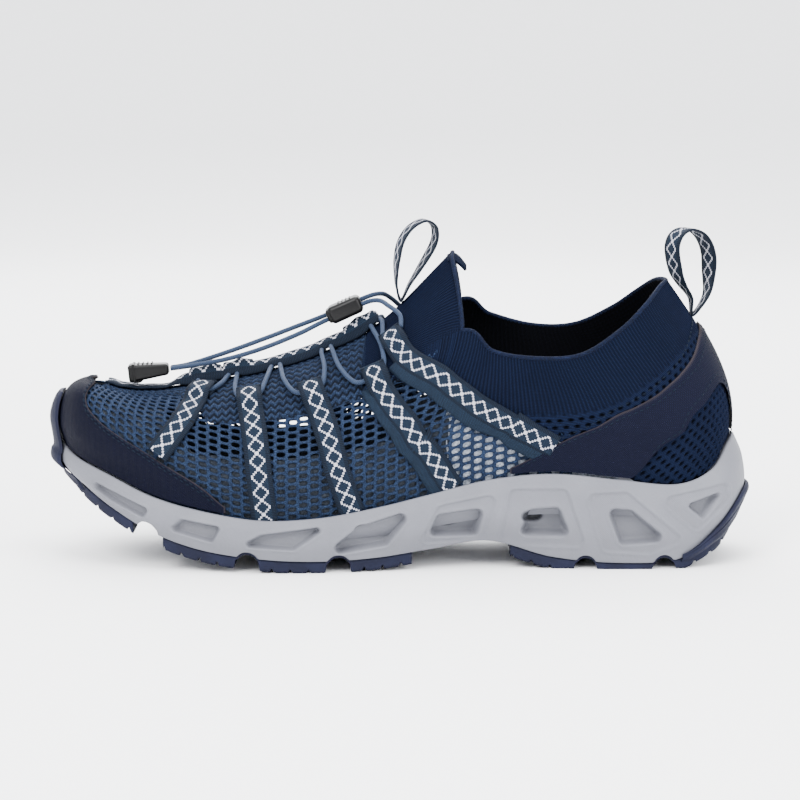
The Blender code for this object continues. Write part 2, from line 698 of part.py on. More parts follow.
def build_heel_counter(finish, collection):
    """Heel counter: a slanting band on each side, joined behind the heel."""
    rows = [10.34, 10.83, 11.19, 11.6, 12.0, 12.3, 12.6, 13.0, 13.5, 14.0, 14.5, 14.8, 15.15,
            15.35, 15.5, 15.6]
    places = rows + [LAST] + [ROUND - row for row in reversed(rows)]
    return overlay("heel_counter", places,
                   lambda place: edge_level(COUNTER_LOW, row_of(place)),
                   lambda place: edge_level(COUNTER_TOP, row_of(place)), 4, finish, collection)


def build_strap(name, strap, side, finish, collection):
    """One tape strap, whose top end rises over the lace."""
    inner, outer = [], []
    marks = [Vector(mark) for mark in strap]
    marks = [2 * marks[0] - marks[1], *marks, 2 * marks[-1] - marks[-2]]

    def spot(share):
        run = share * (len(strap) - 1)
        base = min(int(run), len(strap) - 2)
        row, level = catmull(*marks[base:base + 4], run - base)
        return (row if side < 0 else ROUND - row), level

    length = 0.0
    previous = None
    for step in range(STRAP_STEPS + 1):
        share = (step / STRAP_STEPS) ** 1.25
        place, level = spot(share)
        level = max(level, free_level(place))
        here = upper_point(place, level)
        length += (here - previous).length if previous else 0.0
        previous = here
        ahead = upper_point(*spot(min(share + 0.02, 1))) - upper_point(*spot(max(share - 0.02, 0)))
        across = upper_normal(place, level).cross(ahead).normalized()
        lift = LACE_LIFT * (1 - ease((length - HUMP_FLAT) / HUMP_FALL))
        inner_row, outer_row = [], []
        for width in (-0.5, 0, 0.5):
            spot_place, spot_level = walk(place, level, across * width * STRAP_WIDTH)
            spot_level = max(spot_level, free_level(spot_place))
            inner_row.append(raised(spot_place, spot_level, STRAP_GAP + lift))
            outer_row.append(raised(spot_place, spot_level, STRAP_GAP + lift + OVERLAY_WALL))
        inner.append(inner_row)
        outer.append(outer_row)
    return plate(name, inner, outer, finish, collection)


def build_ribbon(finish, collection):
    """Throat ribbon on the ridge of the vamp."""
    inner, outer = [], []
    for step in range(RIBBON_STEPS + 1):
        row = RIBBON_START + (RIBBON_END - RIBBON_START) * step / RIBBON_STEPS
        raise_share = ease((row - RIBBON_RAISE[0]) / (RIBBON_RAISE[1] - RIBBON_RAISE[0]))
        low = SKIN_GAP + LACE_LIFT * raise_share
        wall = OVERLAY_WALL + (RIBBON_WALL - OVERLAY_WALL) * raise_share
        inner_row, outer_row = [], []
        for width in (-0.5, -0.25, 0, 0.25, 0.5):
            place = row if width <= 0 else ROUND - row
            spot = walk(place, 3.98, Vector((0, width * RIBBON_WIDTH, 0))) if width else (row, 4)
            inner_row.append(raised(*spot, low))
            outer_row.append(raised(*spot, low + wall))
        inner.append(inner_row)
        outer.append(outer_row)
    return plate("throat_ribbon", inner, outer, finish, collection)


def smooth_route(keys, spacing):
    """Points at an even spacing along a smooth curve through a route's own points."""
    fine = []
    for index in range(len(keys) - 1):
        before = keys[max(index - 1, 0)]
        after = keys[min(index + 2, len(keys) - 1)]
        for step in range(8):
            fine.append(catmull(before, keys[index], keys[index + 1], after, step / 8))
    fine.append(keys[-1])
    total = sum((b - a).length for a, b in zip(fine, fine[1:]))
    count = max(round(total / spacing), 1)
    points, gone, index = [fine[0]], 0.0, 0
    for step in range(1, count):
        target = total * step / count
        while gone + (fine[index + 1] - fine[index]).length < target:
            gone += (fine[index + 1] - fine[index]).length
            index += 1
        piece = fine[index + 1] - fine[index]
        points.append(fine[index] + piece * ((target - gone) / piece.length))
    points.append(fine[-1])
    return points


def cord(name, points, diameter, finish, collection):
    """Round cord along a route."""
    curve = bpy.data.curves.new(name, "CURVE")
    curve.dimensions = "3D"
    curve.bevel_depth = diameter / 2
    curve.bevel_resolution = 2
    curve.use_fill_caps = True
    spline = curve.splines.new("POLY")
    spline.points.add(len(points) - 1)
    for target, point in zip(spline.points, points):
        target.co = (*point, 1)
    curve.materials.append(finish)
    made = bpy.data.objects.new(name, curve)
    collection.objects.link(made)
    return made


def build_lace(name, side, finish, collection):
    """Lace of one side, from loop to loop of the straps and under the ribbon."""
    keys = []
    for point in LACE:
        place = point.row if side < 0 else ROUND - point.row
        keys.append(raised(place, point.level, LACE_HEIGHT))
    return cord(name, smooth_route(keys, LACE_SPACING), LACE_DIAMETER, finish, collection)


def build_free_lace(name, side, finish, collection):
    """Free lace from the end clip through the cord lock to the top strap's loop."""
    keys = [Vector((x_at(along), aside * MM, up * TONGUE_HEIGHT))
            for along, aside, up in FREE_LACE[name]]
    place = FREE_LACE_END if side < 0 else ROUND - FREE_LACE_END
    keys.append(raised(place, FREE_LACE_END_LEVEL + 0.2, LACE_HEIGHT * 1.3))
    keys.append(raised(place, FREE_LACE_END_LEVEL + 0.03, LACE_HEIGHT))
    return cord(name, smooth_route(keys, LACE_SPACING), LACE_DIAMETER, finish, collection)


def build_band(name, route, turn, finish, collection):
    """Closed loop of tape, turned about the upright through its seam."""
    keys = [Vector((x_at(along), 0, up * TONGUE_HEIGHT)) for along, up in route]
    ring = []
    foot, top = keys[0], max(key.z for key in keys)
    count = 2 * len(keys)
    for step in range(count):
        here = around(keys, step / 2)
        ahead = (around(keys, step / 2 + 0.1) - around(keys, step / 2 - 0.1)).normalized()
        out = Vector((-ahead.z, 0, ahead.x))
        turned = turn * ease((here.z - foot.z) / (top - foot.z) * 1.6)
        spin = Matrix.Rotation(turned, 3, "Z")
        wide = spin @ Vector((0, 1, 0)) * LOOP_WIDTH / 2
        face = spin @ out * LOOP_WALL / 2
        middle = spin @ (here - foot) + foot
        ring.append([middle + wide + face, middle - wide + face,
                     middle - wide - face, middle + wide - face])
    bm = bmesh.new()
    loops = [[bm.verts.new(point) for point in corners] for corners in ring]
    close_strip(bm, loops + loops[:1])
    bmesh.ops.recalc_face_normals(bm, faces=bm.faces)
    return object_from(bm, name, finish, collection)


def round_corners(corners):
    """Blunt the corners of an outline: three points on a curve at each."""
    blunt = []
    for before, corner, after in zip(corners[-1:] + corners[:-1], corners, corners[1:] + corners[:1]):
        start, end = corner.lerp(before, CORNER_BLUNT), corner.lerp(after, CORNER_BLUNT)
        blunt += [start, (start + end) / 4 + corner / 2, end]
    return blunt


def side_y(x, z, side):
    """Distance from the middle plane to the sole's side at a place and height."""
    row = row_at_x(x)
    place = row if side < 0 else ROUND - row
    marks = [around(loop, place) for loop in (UNDER, BULGE, WAIST, RIM)]
    if z <= marks[0].z:
        return marks[0].y
    for low, high in zip(marks, marks[1:]):
        if z <= high.z:
            return low.y + (high.y - low.y) * (z - low.z) / (high.z - low.z)
    return marks[-1].y


def window_cutter(window, side, collection):
    """Plug that cuts one window into the sole's side, following its surface."""
    corners = [Vector((x_at(along), up * SIDE_HEIGHT)) for along, up in window.corners]
    outline = round_corners(corners)
    middle = sum(outline, Vector((0, 0))) / len(outline)
    shrink = WINDOW_DRAFT if window.depth > 1 * MM else 0.98
    rings = []
    for scale, reach in ((1.0, WINDOW_REACH), (1.0, WINDOW_EDGE), (shrink, -window.depth)):
        ring = []
        for corner in outline:
            spot = middle + (corner - middle) * scale
            ring.append(Vector((spot.x, side_y(spot.x, spot.y, side) + side * reach, spot.y)))
        rings.append(ring)
    bm = bmesh.new()
    loops = [[bm.verts.new(point) for point in ring] for ring in rings]
    close_strip(bm, loops)
    bm.faces.new(loops[0])
    bm.faces.new(loops[-1])
    bmesh.ops.triangulate(bm, faces=bm.faces)
    bmesh.ops.recalc_face_normals(bm, faces=bm.faces)
    mesh = bpy.data.meshes.new("cut_" + window.name)
    bm.to_mesh(mesh)
    bm.free()
    plug = bpy.data.objects.new("cut_%s_%s" % (window.name, "outer" if side < 0 else "inner"), mesh)
    plug.hide_render = True
    plug.display_type = "WIRE"
    collection.objects.link(plug)
    return plug


def cut(piece, cutter, name="cut"):
    """Cut one solid out of another."""
    boolean = piece.modifiers.new(name, "BOOLEAN")
    boolean.operation = "DIFFERENCE"
    boolean.solver = "EXACT"
    boolean.object = cutter
    return boolean


def build_insole(finish, collection):
    """Insole on the foot bed, inside the upper."""
    inset = LIP + CUP_SLOPE + GAP + UPPER_WALL + SKIN_GAP
    edge = level_loop(lambda row: rim_inset(row) + inset, lambda row: bed_height(row) + GAP)
    top = level_loop(lambda row: rim_inset(row) + inset,
                     lambda row: bed_height(row) + GAP + INSOLE_THICKNESS)
    bm = bmesh.new()
    rings = []
    for step in range(2 * LAST + 1):
        row = step / 2
        ring = [around(edge, row).lerp(around(edge, ROUND - row), (share + 1) / 2)
                for share in ACROSS]
        ring += [around(top, row).lerp(around(top, ROUND - row), (share + 1) / 2)
                 for share in reversed(ACROSS)]
        rings.append([bm.verts.new(point) for point in ring])
    close_strip(bm, rings)
    bmesh.ops.remove_doubles(bm, verts=bm.verts, dist=1e-6)
    bmesh.ops.recalc_face_normals(bm, faces=bm.faces)
    return object_from(bm, "insole", finish, collection)


def rubber_wall(row):
    """Thickness of the tread rubber beside a row of the sole."""
    wall = RUBBER + (RUBBER_HEEL - RUBBER) * ease((row - HEEL_ROUND) / 0.9)
    if flex_top(around(OUTLINE, row).x) > 0:
        wall = RUBBER_THIN
    return wall


def build_tread(name, start, end, across, finish, collection):
    """Tread of rubber under the midsole between two places, with channels along it."""
    first, last = row_at_x(x_at(start)), row_at_x(x_at(end))
    rows = [row for row in STATIONS if first - 0.01 < row < last + 0.01]
    inner, outer = [], []
    for row in rows:
        shrink = 1 - RUBBER_INSET / OUTER_HALF
        upper_row, lower_row = [], []
        tip = row in (0, LAST)
        for share, lug in across:
            over = under_point(row, share * shrink) - Vector((0, 0, GAP))
            below = over.copy()
            below.z -= rubber_wall(row) if lug or tip else RUBBER_THIN
            if lug and below.z < REST_FLAT:
                below.z = 0.0
            upper_row.append(over)
            lower_row.append(below)
        inner.append(upper_row)
        outer.append(lower_row)
    return plate(name, inner, outer, finish, collection)


def wrap_grid(levels, places, wall):
    """Inner and outer points of a rubber wrap, from rows of points and outward directions."""
    inner, outer = [], []
    for point_at, thick in levels:
        inner_row, outer_row = [], []
        for share in places:
            point, out = point_at(share)
            edge = 1 - WRAP_FADE * abs(share) ** 3
            inner_row.append(point)
            outer_row.append(point + out * wall * thick * edge)
        inner.append(inner_row)
        outer.append(outer_row)
    return inner, outer


def join(piece, other):
    """Make two overlapping solids one."""
    boolean = piece.modifiers.new("join", "BOOLEAN")
    boolean.operation = "UNION"
    boolean.solver = "EXACT"
    boolean.object = other


def build_toe_bumper(finish, collection):
    """Rubber that runs up the front of the toe."""
    def sole_level(loop, half, sink, drop):
        def at(share):
            place = share * half
            out = level_out(place)
            point = around(loop, place) + out * (BUMPER_GAP - sink)
            point.z -= drop
            return point, out
        return at

    def cap_level(level, half):
        def at(share):
            place = share * half
            height = SKIN_GAP * 2 + OVERLAY_WALL
            return raised(place, level, height), upper_normal(place, level)
        return at

    levels = [
        (sole_level(UNDER, 1.9, 1.2 * MM, 2.4 * MM), 1.2),
        (sole_level(UNDER, 1.7, 0.0, -0.6 * MM), 1.0),
        (sole_level(BULGE, 1.15, 0.0, 0.0), 1.0),
        (sole_level(WAIST, 0.95, 0.0, 0.0), 1.0),
        (sole_level(RIM, 0.85, 0.0, 0.0), 1.0),
        (cap_level(2.0, 0.78), 1.0),
        (cap_level(2.35, 0.72), 0.9),
        (cap_level(2.62, 0.64), 0.75),
        (cap_level(2.8, 0.5), 0.45),
    ]
    places = [-1, -0.85, -0.65, -0.43, -0.21, 0, 0.21, 0.43, 0.65, 0.85, 1]
    return plate("toe_bumper_body", *wrap_grid(levels, places, RUBBER_WRAP), finish, collection)


def build_heel_wrap(finish, collection):
    """Rubber that runs up the back of the heel."""
    rows = [row for row in STATIONS if row >= WRAP_START]
    half = LAST - rows[0]

    def level(share_up, sink, drop):
        def at(share):
            place = LAST + share * half
            rise = WRAP_RISE * (WRAP_END + (1 - WRAP_END) * ease((1 - abs(share)) * 1.25)) * share_up
            low, mid, high = (around(loop, place) for loop in (UNDER, BULGE, WAIST))
            point = low.lerp(mid, rise) if rise < 1 else mid.lerp(high, rise - 1)
            out = level_out(place)
            point += out * (SKIN_GAP - sink)
            point.z -= drop
            return point, out
        return at

    levels = [(level(0.0, 1.7 * MM, 2.2 * MM), 1.1), (level(0.0, 0.0, 0.3 * MM), 1.05),
              (level(0.33, 0.0, 0.0), 1.0), (level(0.67, 0.0, 0.0), 0.9), (level(1.0, 0.0, 0.0), 0.5)]
    places = [(row - LAST) / half for row in rows] + [(LAST - row) / half for row in rows[-2::-1]]
    return plate("heel_wrap_body", *wrap_grid(levels, places, RUBBER_WRAP), finish, collection)


def rounded_block(name, size, taper, bevel, finish, collection):
    """Block with rounded edges, its end towards the heel made smaller by a share."""
    bm = bmesh.new()
    bmesh.ops.create_cube(bm, size=1)
    for vert in bm.verts:
        shrink = taper if vert.co.x > 0 else 1
        vert.co = Vector((vert.co.x * size[0], vert.co.y * size[1] * (1 + shrink) / 2,
                          vert.co.z * size[2] * shrink))
    bmesh.ops.bevel(bm, geom=bm.edges[:], offset=bevel, segments=3, profile=0.5,
                    affect="EDGES", material=-1)
    return object_from(bm, name, finish, collection)


def bore_cutter(name, aside, up, collection):
    """Hole for one lace along the cord lock."""
    bm = bmesh.new()
    bmesh.ops.create_cone(bm, cap_ends=True, segments=12, radius1=LOCK_BORE / 2,
                          radius2=LOCK_BORE / 2, depth=LOCK_SIZE[0] * 1.4)
    place = Matrix.Rotation(radians(90), 4, "Y")
    bm.transform(Matrix.Translation((0, aside, up)) @ place)
    mesh = bpy.data.meshes.new(name)
    bm.to_mesh(mesh)
    bm.free()
    made = bpy.data.objects.new(name, mesh)
    made.location = middle_at(LOCK_PLACE)
    made.rotation_euler = (0, -LOCK_RISE, 0)
    made.hide_render = True
    made.display_type = "WIRE"
    collection.objects.link(made)
    return made


def build_lock(finish, collection, cutters):
    """Cord lock with a hole for each lace."""
    lock = rounded_block("cord_lock", LOCK_SIZE, 0.96, 2.0 * MM, finish, collection)
    lock.location = middle_at(LOCK_PLACE)
    lock.rotation_euler = (0, -LOCK_RISE, 0)
    cut(lock, bore_cutter("bore_outer", -BORE_ASIDE, -BORE_UP, cutters), "bore_outer")
    cut(lock, bore_cutter("bore_inner", BORE_ASIDE, BORE_UP, cutters), "bore_inner")
    return lock


def build_clip(finish, collection, cutters):
    """End clip of the lace with the hook that holds it to the ribbon."""
    clip = rounded_block("end_clip", CLIP_SIZE, CLIP_TAPER, CLIP_BEVEL, finish, collection)
    clip.location = middle_at(CLIP_PLACE)
    clip.rotation_euler = (0, -CLIP_RISE, 0)
    bm = bmesh.new()
    bmesh.ops.create_cone(bm, cap_ends=True, segments=10, radius1=HOOK_RADIUS,
                          radius2=HOOK_RADIUS, depth=HOOK_LENGTH)
    mesh = bpy.data.meshes.new("clip_hook")
    bm.to_mesh(mesh)
    bm.free()
    hook = bpy.data.objects.new("clip_hook", mesh)
    hook.location = middle_at(CLIP_HOOK)
    hook.hide_render = True
    hook.display_type = "WIRE"
    cutters.objects.link(hook)
    join(clip, hook)
    return clip


def build_parts():
    """Build every sub-part."""
    for old in list(bpy.data.objects):
        bpy.data.objects.remove(old, do_unlink=True)
    parts = bpy.data.collections.new("water_shoe")
    cutters = bpy.data.collections.new("cutters")
    bpy.context.scene.collection.children.link(parts)
    bpy.context.scene.collection.children.link(cutters)
    knit = material("navy_knit", (0.02, 0.04, 0.12), 0.9)
    overlay_cloth = material("overlay_cloth", (0.015, 0.02, 0.07), 0.7)
    foam = material("grey_foam", (0.62, 0.64, 0.67), 0.7)
    rubber = material("navy_rubber", (0.012, 0.017, 0.05), 0.6)
    tape = material("blue_tape", (0.05, 0.11, 0.2), 0.9)
    lace = material("blue_lace", (0.04, 0.08, 0.17), 0.8)
    plastic = material("black_plastic", (0.02, 0.02, 0.022), 0.35)
    lining = material("insole_cloth", (0.35, 0.37, 0.4), 0.9)

    build_upper(knit, parts)
    build_toe_cap(overlay_cloth, parts)
    build_heel_counter(overlay_cloth, parts)
    for side, word in ((-1, "outer"), (1, "inner")):
        for number, strap in enumerate(STRAPS, 1):
            build_strap("strap_%s_%d" % (word, number), strap, side, tape, parts)
        build_lace("lace_" + word, side, lace, parts)
        build_free_lace("free_lace_" + word, side, lace, parts)
    build_ribbon(tape, parts)
    build_band("front_pull_loop", FRONT_LOOP, FRONT_LOOP_TURN, tape, parts)
    build_band("heel_pull_loop", HEEL_LOOP, HEEL_LOOP_TURN, tape, parts)
    build_lock(plastic, parts, cutters)
    build_clip(plastic, parts, cutters)
    build_insole(lining, parts)

    midsole = build_midsole(foam, parts)
    for side in (-1, 1):
        for window in WINDOWS:
            cut(midsole, window_cutter(window, side, cutters), window.name)
    toe = build_tread("outsole_toe", 0, TOE_TREAD_END, FORE_ACROSS, rubber, parts)
    bumper = build_toe_bumper(rubber, cutters)
    build_tread("outsole_forefoot", *FORE_TREAD, FORE_ACROSS, rubber, parts)
    heel = build_tread("outsole_heel", HEEL_TREAD_START, 1, HEEL_ACROSS, rubber, parts)
    wrap = build_heel_wrap(rubber, cutters)
    for body in (bumper, wrap):
        body.hide_render = True
        body.display_type = "WIRE"
    join(toe, bumper)
    join(heel, wrap)


build_parts()
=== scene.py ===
"""Water shoe for the left foot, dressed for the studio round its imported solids.

Sizes are metres. The toe points along -X, the outer side of the foot is -Y and the origin is on the
ground under the heel. The shoe's surface is one function of a place round the sole and a level up
its side, as in the part's source, and every piece of cloth, tape and rubber is laid on it.
"""
from collections import namedtuple
from math import cos, pi, radians, sin

import bmesh
import bpy
import numpy as np
from mathutils import Matrix, Vector


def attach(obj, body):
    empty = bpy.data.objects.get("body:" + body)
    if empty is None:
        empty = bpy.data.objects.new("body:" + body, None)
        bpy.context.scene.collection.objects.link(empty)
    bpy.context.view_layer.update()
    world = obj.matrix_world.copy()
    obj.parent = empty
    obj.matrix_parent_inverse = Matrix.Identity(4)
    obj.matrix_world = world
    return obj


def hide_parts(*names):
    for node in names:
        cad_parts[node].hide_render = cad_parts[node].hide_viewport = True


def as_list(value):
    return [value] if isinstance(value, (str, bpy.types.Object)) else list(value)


bl_info = {
    "name": "Water Shoe",
    "version": (1, 0, 0),
    "blender": (4, 5, 0),
    "location": "View3D > Sidebar > Water Shoe",
    "description": "Builds the knit, mesh, tape, lace, foam and rubber of a water shoe",
    "category": "Add Mesh",
}

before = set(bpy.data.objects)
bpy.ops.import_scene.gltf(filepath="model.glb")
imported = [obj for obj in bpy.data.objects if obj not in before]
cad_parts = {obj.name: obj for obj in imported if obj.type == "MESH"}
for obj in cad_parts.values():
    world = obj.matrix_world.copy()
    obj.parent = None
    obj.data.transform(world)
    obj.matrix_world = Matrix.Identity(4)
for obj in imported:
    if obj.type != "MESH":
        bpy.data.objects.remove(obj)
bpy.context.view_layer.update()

MM = 0.001
WELD_DISTANCE = 1e-6
# Overall sizes of the shoe
LENGTH = 296 * MM
HEEL_REST = 0.824
OUTER_HALF = 51.5 * MM
INNER_HALF = 50.5 * MM
SIDE_HEIGHT = 40 * MM
TONGUE_HEIGHT = 127.5 * MM

# Walls, clearances and sole details
GAP = 0.3 * MM
SKIN_GAP = 0.6 * MM
STRAP_GAP = 0.75 * MM
UPPER_WALL = 1.8 * MM
OVERLAY_WALL = 1.1 * MM
RUBBER = 4.7 * MM
RUBBER_THIN = 0.9 * MM
RUBBER_WRAP = 2.6 * MM
BUMPER_GAP = 0.9 * MM
RUBBER_INSET = 0.8 * MM
TUCK = 5 * MM
LEAN = 5 * MM
LIP = 2.2 * MM
CUP_SLOPE = 0.8 * MM
CROWN = 1.2 * MM
INSOLE_THICKNESS = 3.5 * MM
BITE_CLEAR = 1.4 * MM
HUMP_FLAT = 5 * MM
HUMP_FALL = 6.5 * MM

# Tread: where its parts start and end, its heel thickness and its lugs across the sole
TOE_TREAD_END = 0.122
FORE_TREAD = (0.166, 0.516)
HEEL_TREAD_START = 0.652
RUBBER_HEEL = 6.0 * MM
HEEL_ROUND = 13.3
WRAP_START = 13.1
WRAP_RISE = 1.1
WRAP_END = 0.14
WRAP_FADE = 0.6
FORE_ACROSS = [(-1, 1), (-0.3, 1), (-0.22, 0), (0.22, 0), (0.3, 1), (1, 1)]
HEEL_ACROSS = [(-1, 1), (-0.46, 1), (-0.4, 0), (-0.3, 0), (-0.24, 1), (0.24, 1), (0.3, 0),
               (0.4, 0), (0.46, 1), (1, 1)]

# Underside edge, bulge and top rim of the sole, and its foot bed
SoleRow = namedtuple("SoleRow", "along outer inner under rim bed tuck lean")
SOLE = [
    SoleRow(0.011, -0.097, 0.099, 0.925, 1.175, 1.000, 1.000, 0.300),
    SoleRow(0.022, 0.175, 0.356, 0.887, 1.125, 0.975, 1.000, 0.320),
    SoleRow(0.047, 0.427, 0.564, 0.775, 1.050, 0.900, 0.900, 0.360),
    SoleRow(0.091, 0.641, 0.743, 0.600, 0.932, 0.738, 0.700, 0.400),
    SoleRow(0.152, 0.816, 0.861, 0.380, 0.750, 0.537, 0.600, 0.400),
    SoleRow(0.223, 0.932, 0.950, 0.227, 0.625, 0.412, 0.500, 0.400),
    SoleRow(0.304, 0.996, 1.000, 0.150, 0.542, 0.338, 0.440, 0.400),
    SoleRow(0.385, 0.986, 0.970, 0.123, 0.562, 0.325, 0.440, 0.400),
    SoleRow(0.466, 0.922, 0.881, 0.148, 0.657, 0.362, 0.520, 0.400),
    SoleRow(0.541, 0.854, 0.778, 0.215, 0.782, 0.438, 0.800, 0.400),
    SoleRow(0.622, 0.804, 0.713, 0.290, 0.922, 0.525, 0.900, 0.440),
    SoleRow(0.709, 0.792, 0.713, 0.125, 0.980, 0.562, 0.600, 0.480),
    SoleRow(0.801, 0.812, 0.749, 0.070, 0.922, 0.550, 0.440, 0.520),
    SoleRow(0.885, 0.786, 0.739, 0.100, 0.870, 0.550, 0.520, 0.640),
    SoleRow(0.943, 0.650, 0.614, 0.300, 1.000, 0.588, 0.800, 0.840),
    SoleRow(0.976, 0.388, 0.366, 0.425, 1.225, 0.650, 1.200, 1.000),
    SoleRow(0.989, 0.000, 0.000, 0.450, 1.275, 0.675, 1.300, 1.040),
]

# Widest line of the upper's side, as an inset from the sole, and its shoulder or collar rim
SIDE_INSET = 5 * MM
UpperRow = namedtuple("UpperRow", "inset side_up along outer inner outer_up inner_up")
UPPER = [
    UpperRow(0.300, 0.447, 0.032, -0.078, 0.079, 0.545, 0.545),
    UpperRow(0.300, 0.439, 0.037, 0.146, 0.277, 0.544, 0.544),
    UpperRow(0.360, 0.424, 0.056, 0.330, 0.455, 0.533, 0.533),
    UpperRow(0.440, 0.392, 0.095, 0.495, 0.584, 0.498, 0.498),
    UpperRow(0.500, 0.353, 0.152, 0.602, 0.634, 0.478, 0.478),
    UpperRow(0.500, 0.329, 0.223, 0.660, 0.653, 0.486, 0.486),
    UpperRow(0.500, 0.314, 0.304, 0.670, 0.653, 0.514, 0.514),
    UpperRow(0.560, 0.329, 0.385, 0.641, 0.624, 0.557, 0.561),
    UpperRow(0.640, 0.361, 0.466, 0.602, 0.584, 0.627, 0.635),
    UpperRow(0.700, 0.424, 0.583, 0.641, 0.634, 0.771, 0.816),
    UpperRow(0.700, 0.455, 0.628, 0.689, 0.703, 0.705, 0.765),
    UpperRow(0.700, 0.471, 0.689, 0.699, 0.713, 0.682, 0.725),
    UpperRow(0.700, 0.455, 0.750, 0.680, 0.693, 0.694, 0.729),
    UpperRow(0.800, 0.447, 0.804, 0.621, 0.634, 0.771, 0.788),
    UpperRow(1.000, 0.455, 0.840, 0.505, 0.515, 0.847, 0.851),
    UpperRow(1.300, 0.471, 0.863, 0.272, 0.277, 0.898, 0.898),
    UpperRow(1.460, 0.455, 0.875, 0.000, 0.000, 0.908, 0.908),
]

# Ridge of the vamp from the toe to the peak of the tongue
RidgeRow = namedtuple("RidgeRow", "along aside up")
RIDGE = [
    RidgeRow(0.064, 0.069, 0.575),
    RidgeRow(0.069, 0.069, 0.574),
    RidgeRow(0.084, 0.065, 0.565),
    RidgeRow(0.115, 0.059, 0.547),
    RidgeRow(0.162, 0.050, 0.547),
    RidgeRow(0.230, 0.040, 0.573),
    RidgeRow(0.311, 0.030, 0.608),
    RidgeRow(0.392, 0.020, 0.671),
    RidgeRow(0.473, 0.010, 0.774),
    RidgeRow(0.571, 0.000, 1.000),
]

# Flex grooves that cross the sole: middle along the shoe, half width and height of their tops
FlexRow = namedtuple("FlexRow", "along radius top")
FLEX = [
    FlexRow(0.142, 5.0 * MM, 20.0 * MM),
    FlexRow(0.286, 5.0 * MM, 9.0 * MM),
    FlexRow(0.414, 5.0 * MM, 7.6 * MM),
    FlexRow(0.756, 4.5 * MM, 5.8 * MM),
    FlexRow(0.866, 4.5 * MM, 6.0 * MM),
]

# Windows of the sole's side: corners as shares of the length and of the side's height, with depth
WindowRow = namedtuple("WindowRow", "name depth corners")
WINDOWS = [
    WindowRow("slot", 3.0 * MM, [(0.071, 0.844), (0.151, 0.638), (0.141, 0.540), (0.092, 0.704)]),
    WindowRow("toe", 3.5 * MM, [(0.177, 0.432), (0.196, 0.553), (0.252, 0.485), (0.239, 0.316)]),
    WindowRow("ball", 4.0 * MM, [(0.282, 0.295), (0.306, 0.411), (0.391, 0.468), (0.352, 0.245)]),
    WindowRow("arch", 6.0 * MM, [(0.402, 0.217), (0.440, 0.481), (0.513, 0.620), (0.481, 0.273)]),
    WindowRow("waist_panel", 0.7 * MM,
              [(0.520, 0.269), (0.550, 0.685), (0.636, 0.809), (0.615, 0.286)]),
    WindowRow("waist", 7.0 * MM, [(0.534, 0.350), (0.550, 0.590), (0.616, 0.655), (0.606, 0.348)]),
    WindowRow("heel_panel", 0.7 * MM,
              [(0.634, 0.243), (0.650, 0.848), (0.730, 0.848), (0.759, 0.226)]),
    WindowRow("heel", 8.0 * MM, [(0.660, 0.345), (0.678, 0.633), (0.719, 0.654), (0.736, 0.342)]),
    WindowRow("back_panel", 0.7 * MM,
              [(0.755, 0.798), (0.813, 0.819), (0.898, 0.292), (0.845, 0.153), (0.779, 0.185)]),
    WindowRow("back", 6.0 * MM, [(0.783, 0.647), (0.819, 0.626), (0.871, 0.301), (0.803, 0.251)]),
    WindowRow("tail_panel", 0.7 * MM,
              [(0.851, 0.746), (0.958, 0.885), (0.959, 0.677), (0.910, 0.372)]),
    WindowRow("tail", 4.5 * MM, [(0.893, 0.669), (0.948, 0.773), (0.921, 0.503)]),
]

# Edge of the toe cap and the edges of the heel counter: row of the sole and level of the upper
EdgeRow = namedtuple("EdgeRow", "row level")
TOE_CAP_EDGE = [EdgeRow(*mark) for mark in (
    (0.00, 3.75), (1.00, 3.70), (1.55, 3.62), (1.90, 3.42), (2.05, 3.05), (2.20, 2.78),
    (2.84, 2.51), (3.41, 2.32), (3.88, 2.17), (4.34, 1.96), (4.87, 1.69), (5.21, 1.42),
    (5.42, 1.15),
)]
COUNTER_TOP = [EdgeRow(*mark) for mark in (
    (10.32, 1.15), (10.83, 1.42), (11.19, 1.70), (11.60, 1.98), (11.99, 2.19), (12.60, 2.32),
    (13.19, 2.42), (13.80, 2.48), (14.44, 2.53), (15.20, 2.60), (16.00, 2.67),
)]
COUNTER_LOW = [EdgeRow(*mark) for mark in (
    (10.32, 1.00), (12.20, 1.00), (12.30, 1.15), (12.60, 1.70), (13.34, 2.12), (14.20, 2.24),
    (14.76, 2.27), (15.15, 2.20), (15.35, 1.95), (15.50, 1.40), (15.60, 1.00), (16.00, 1.00),
)]

# Tape straps of each side: rows and levels of the middle line, from the top down
STRAPS = [
    [(4.96, 3.56), (4.62, 2.92), (4.12, 2.19)],
    [(5.80, 3.28), (5.97, 2.30), (6.09, 1.00)],
    [(6.86, 3.16), (7.24, 2.27), (7.60, 1.00)],
    [(7.96, 3.05), (8.08, 2.74), (8.30, 2.44), (8.60, 2.17), (8.94, 1.84), (9.16, 1.44), (9.38, 1.00)],
    [(8.18, 3.39), (8.36, 2.98), (8.64, 2.70), (9.08, 2.48), (9.62, 2.34), (10.08, 2.17),
     (10.50, 1.92), (11.02, 1.53)],
]
STRAP_WIDTH = 10.5 * MM
STRAP_SETBACK = 0.03

# Throat ribbon along the ridge, from the toe cap to the tongue, raised to let the lace pass below
RIBBON_START = 2.05
RIBBON_RAISE = (4.1, 4.6)
RIBBON_END = 8.0
RIBBON_WIDTH = 10.4 * MM
RIBBON_WALL = 2.0 * MM

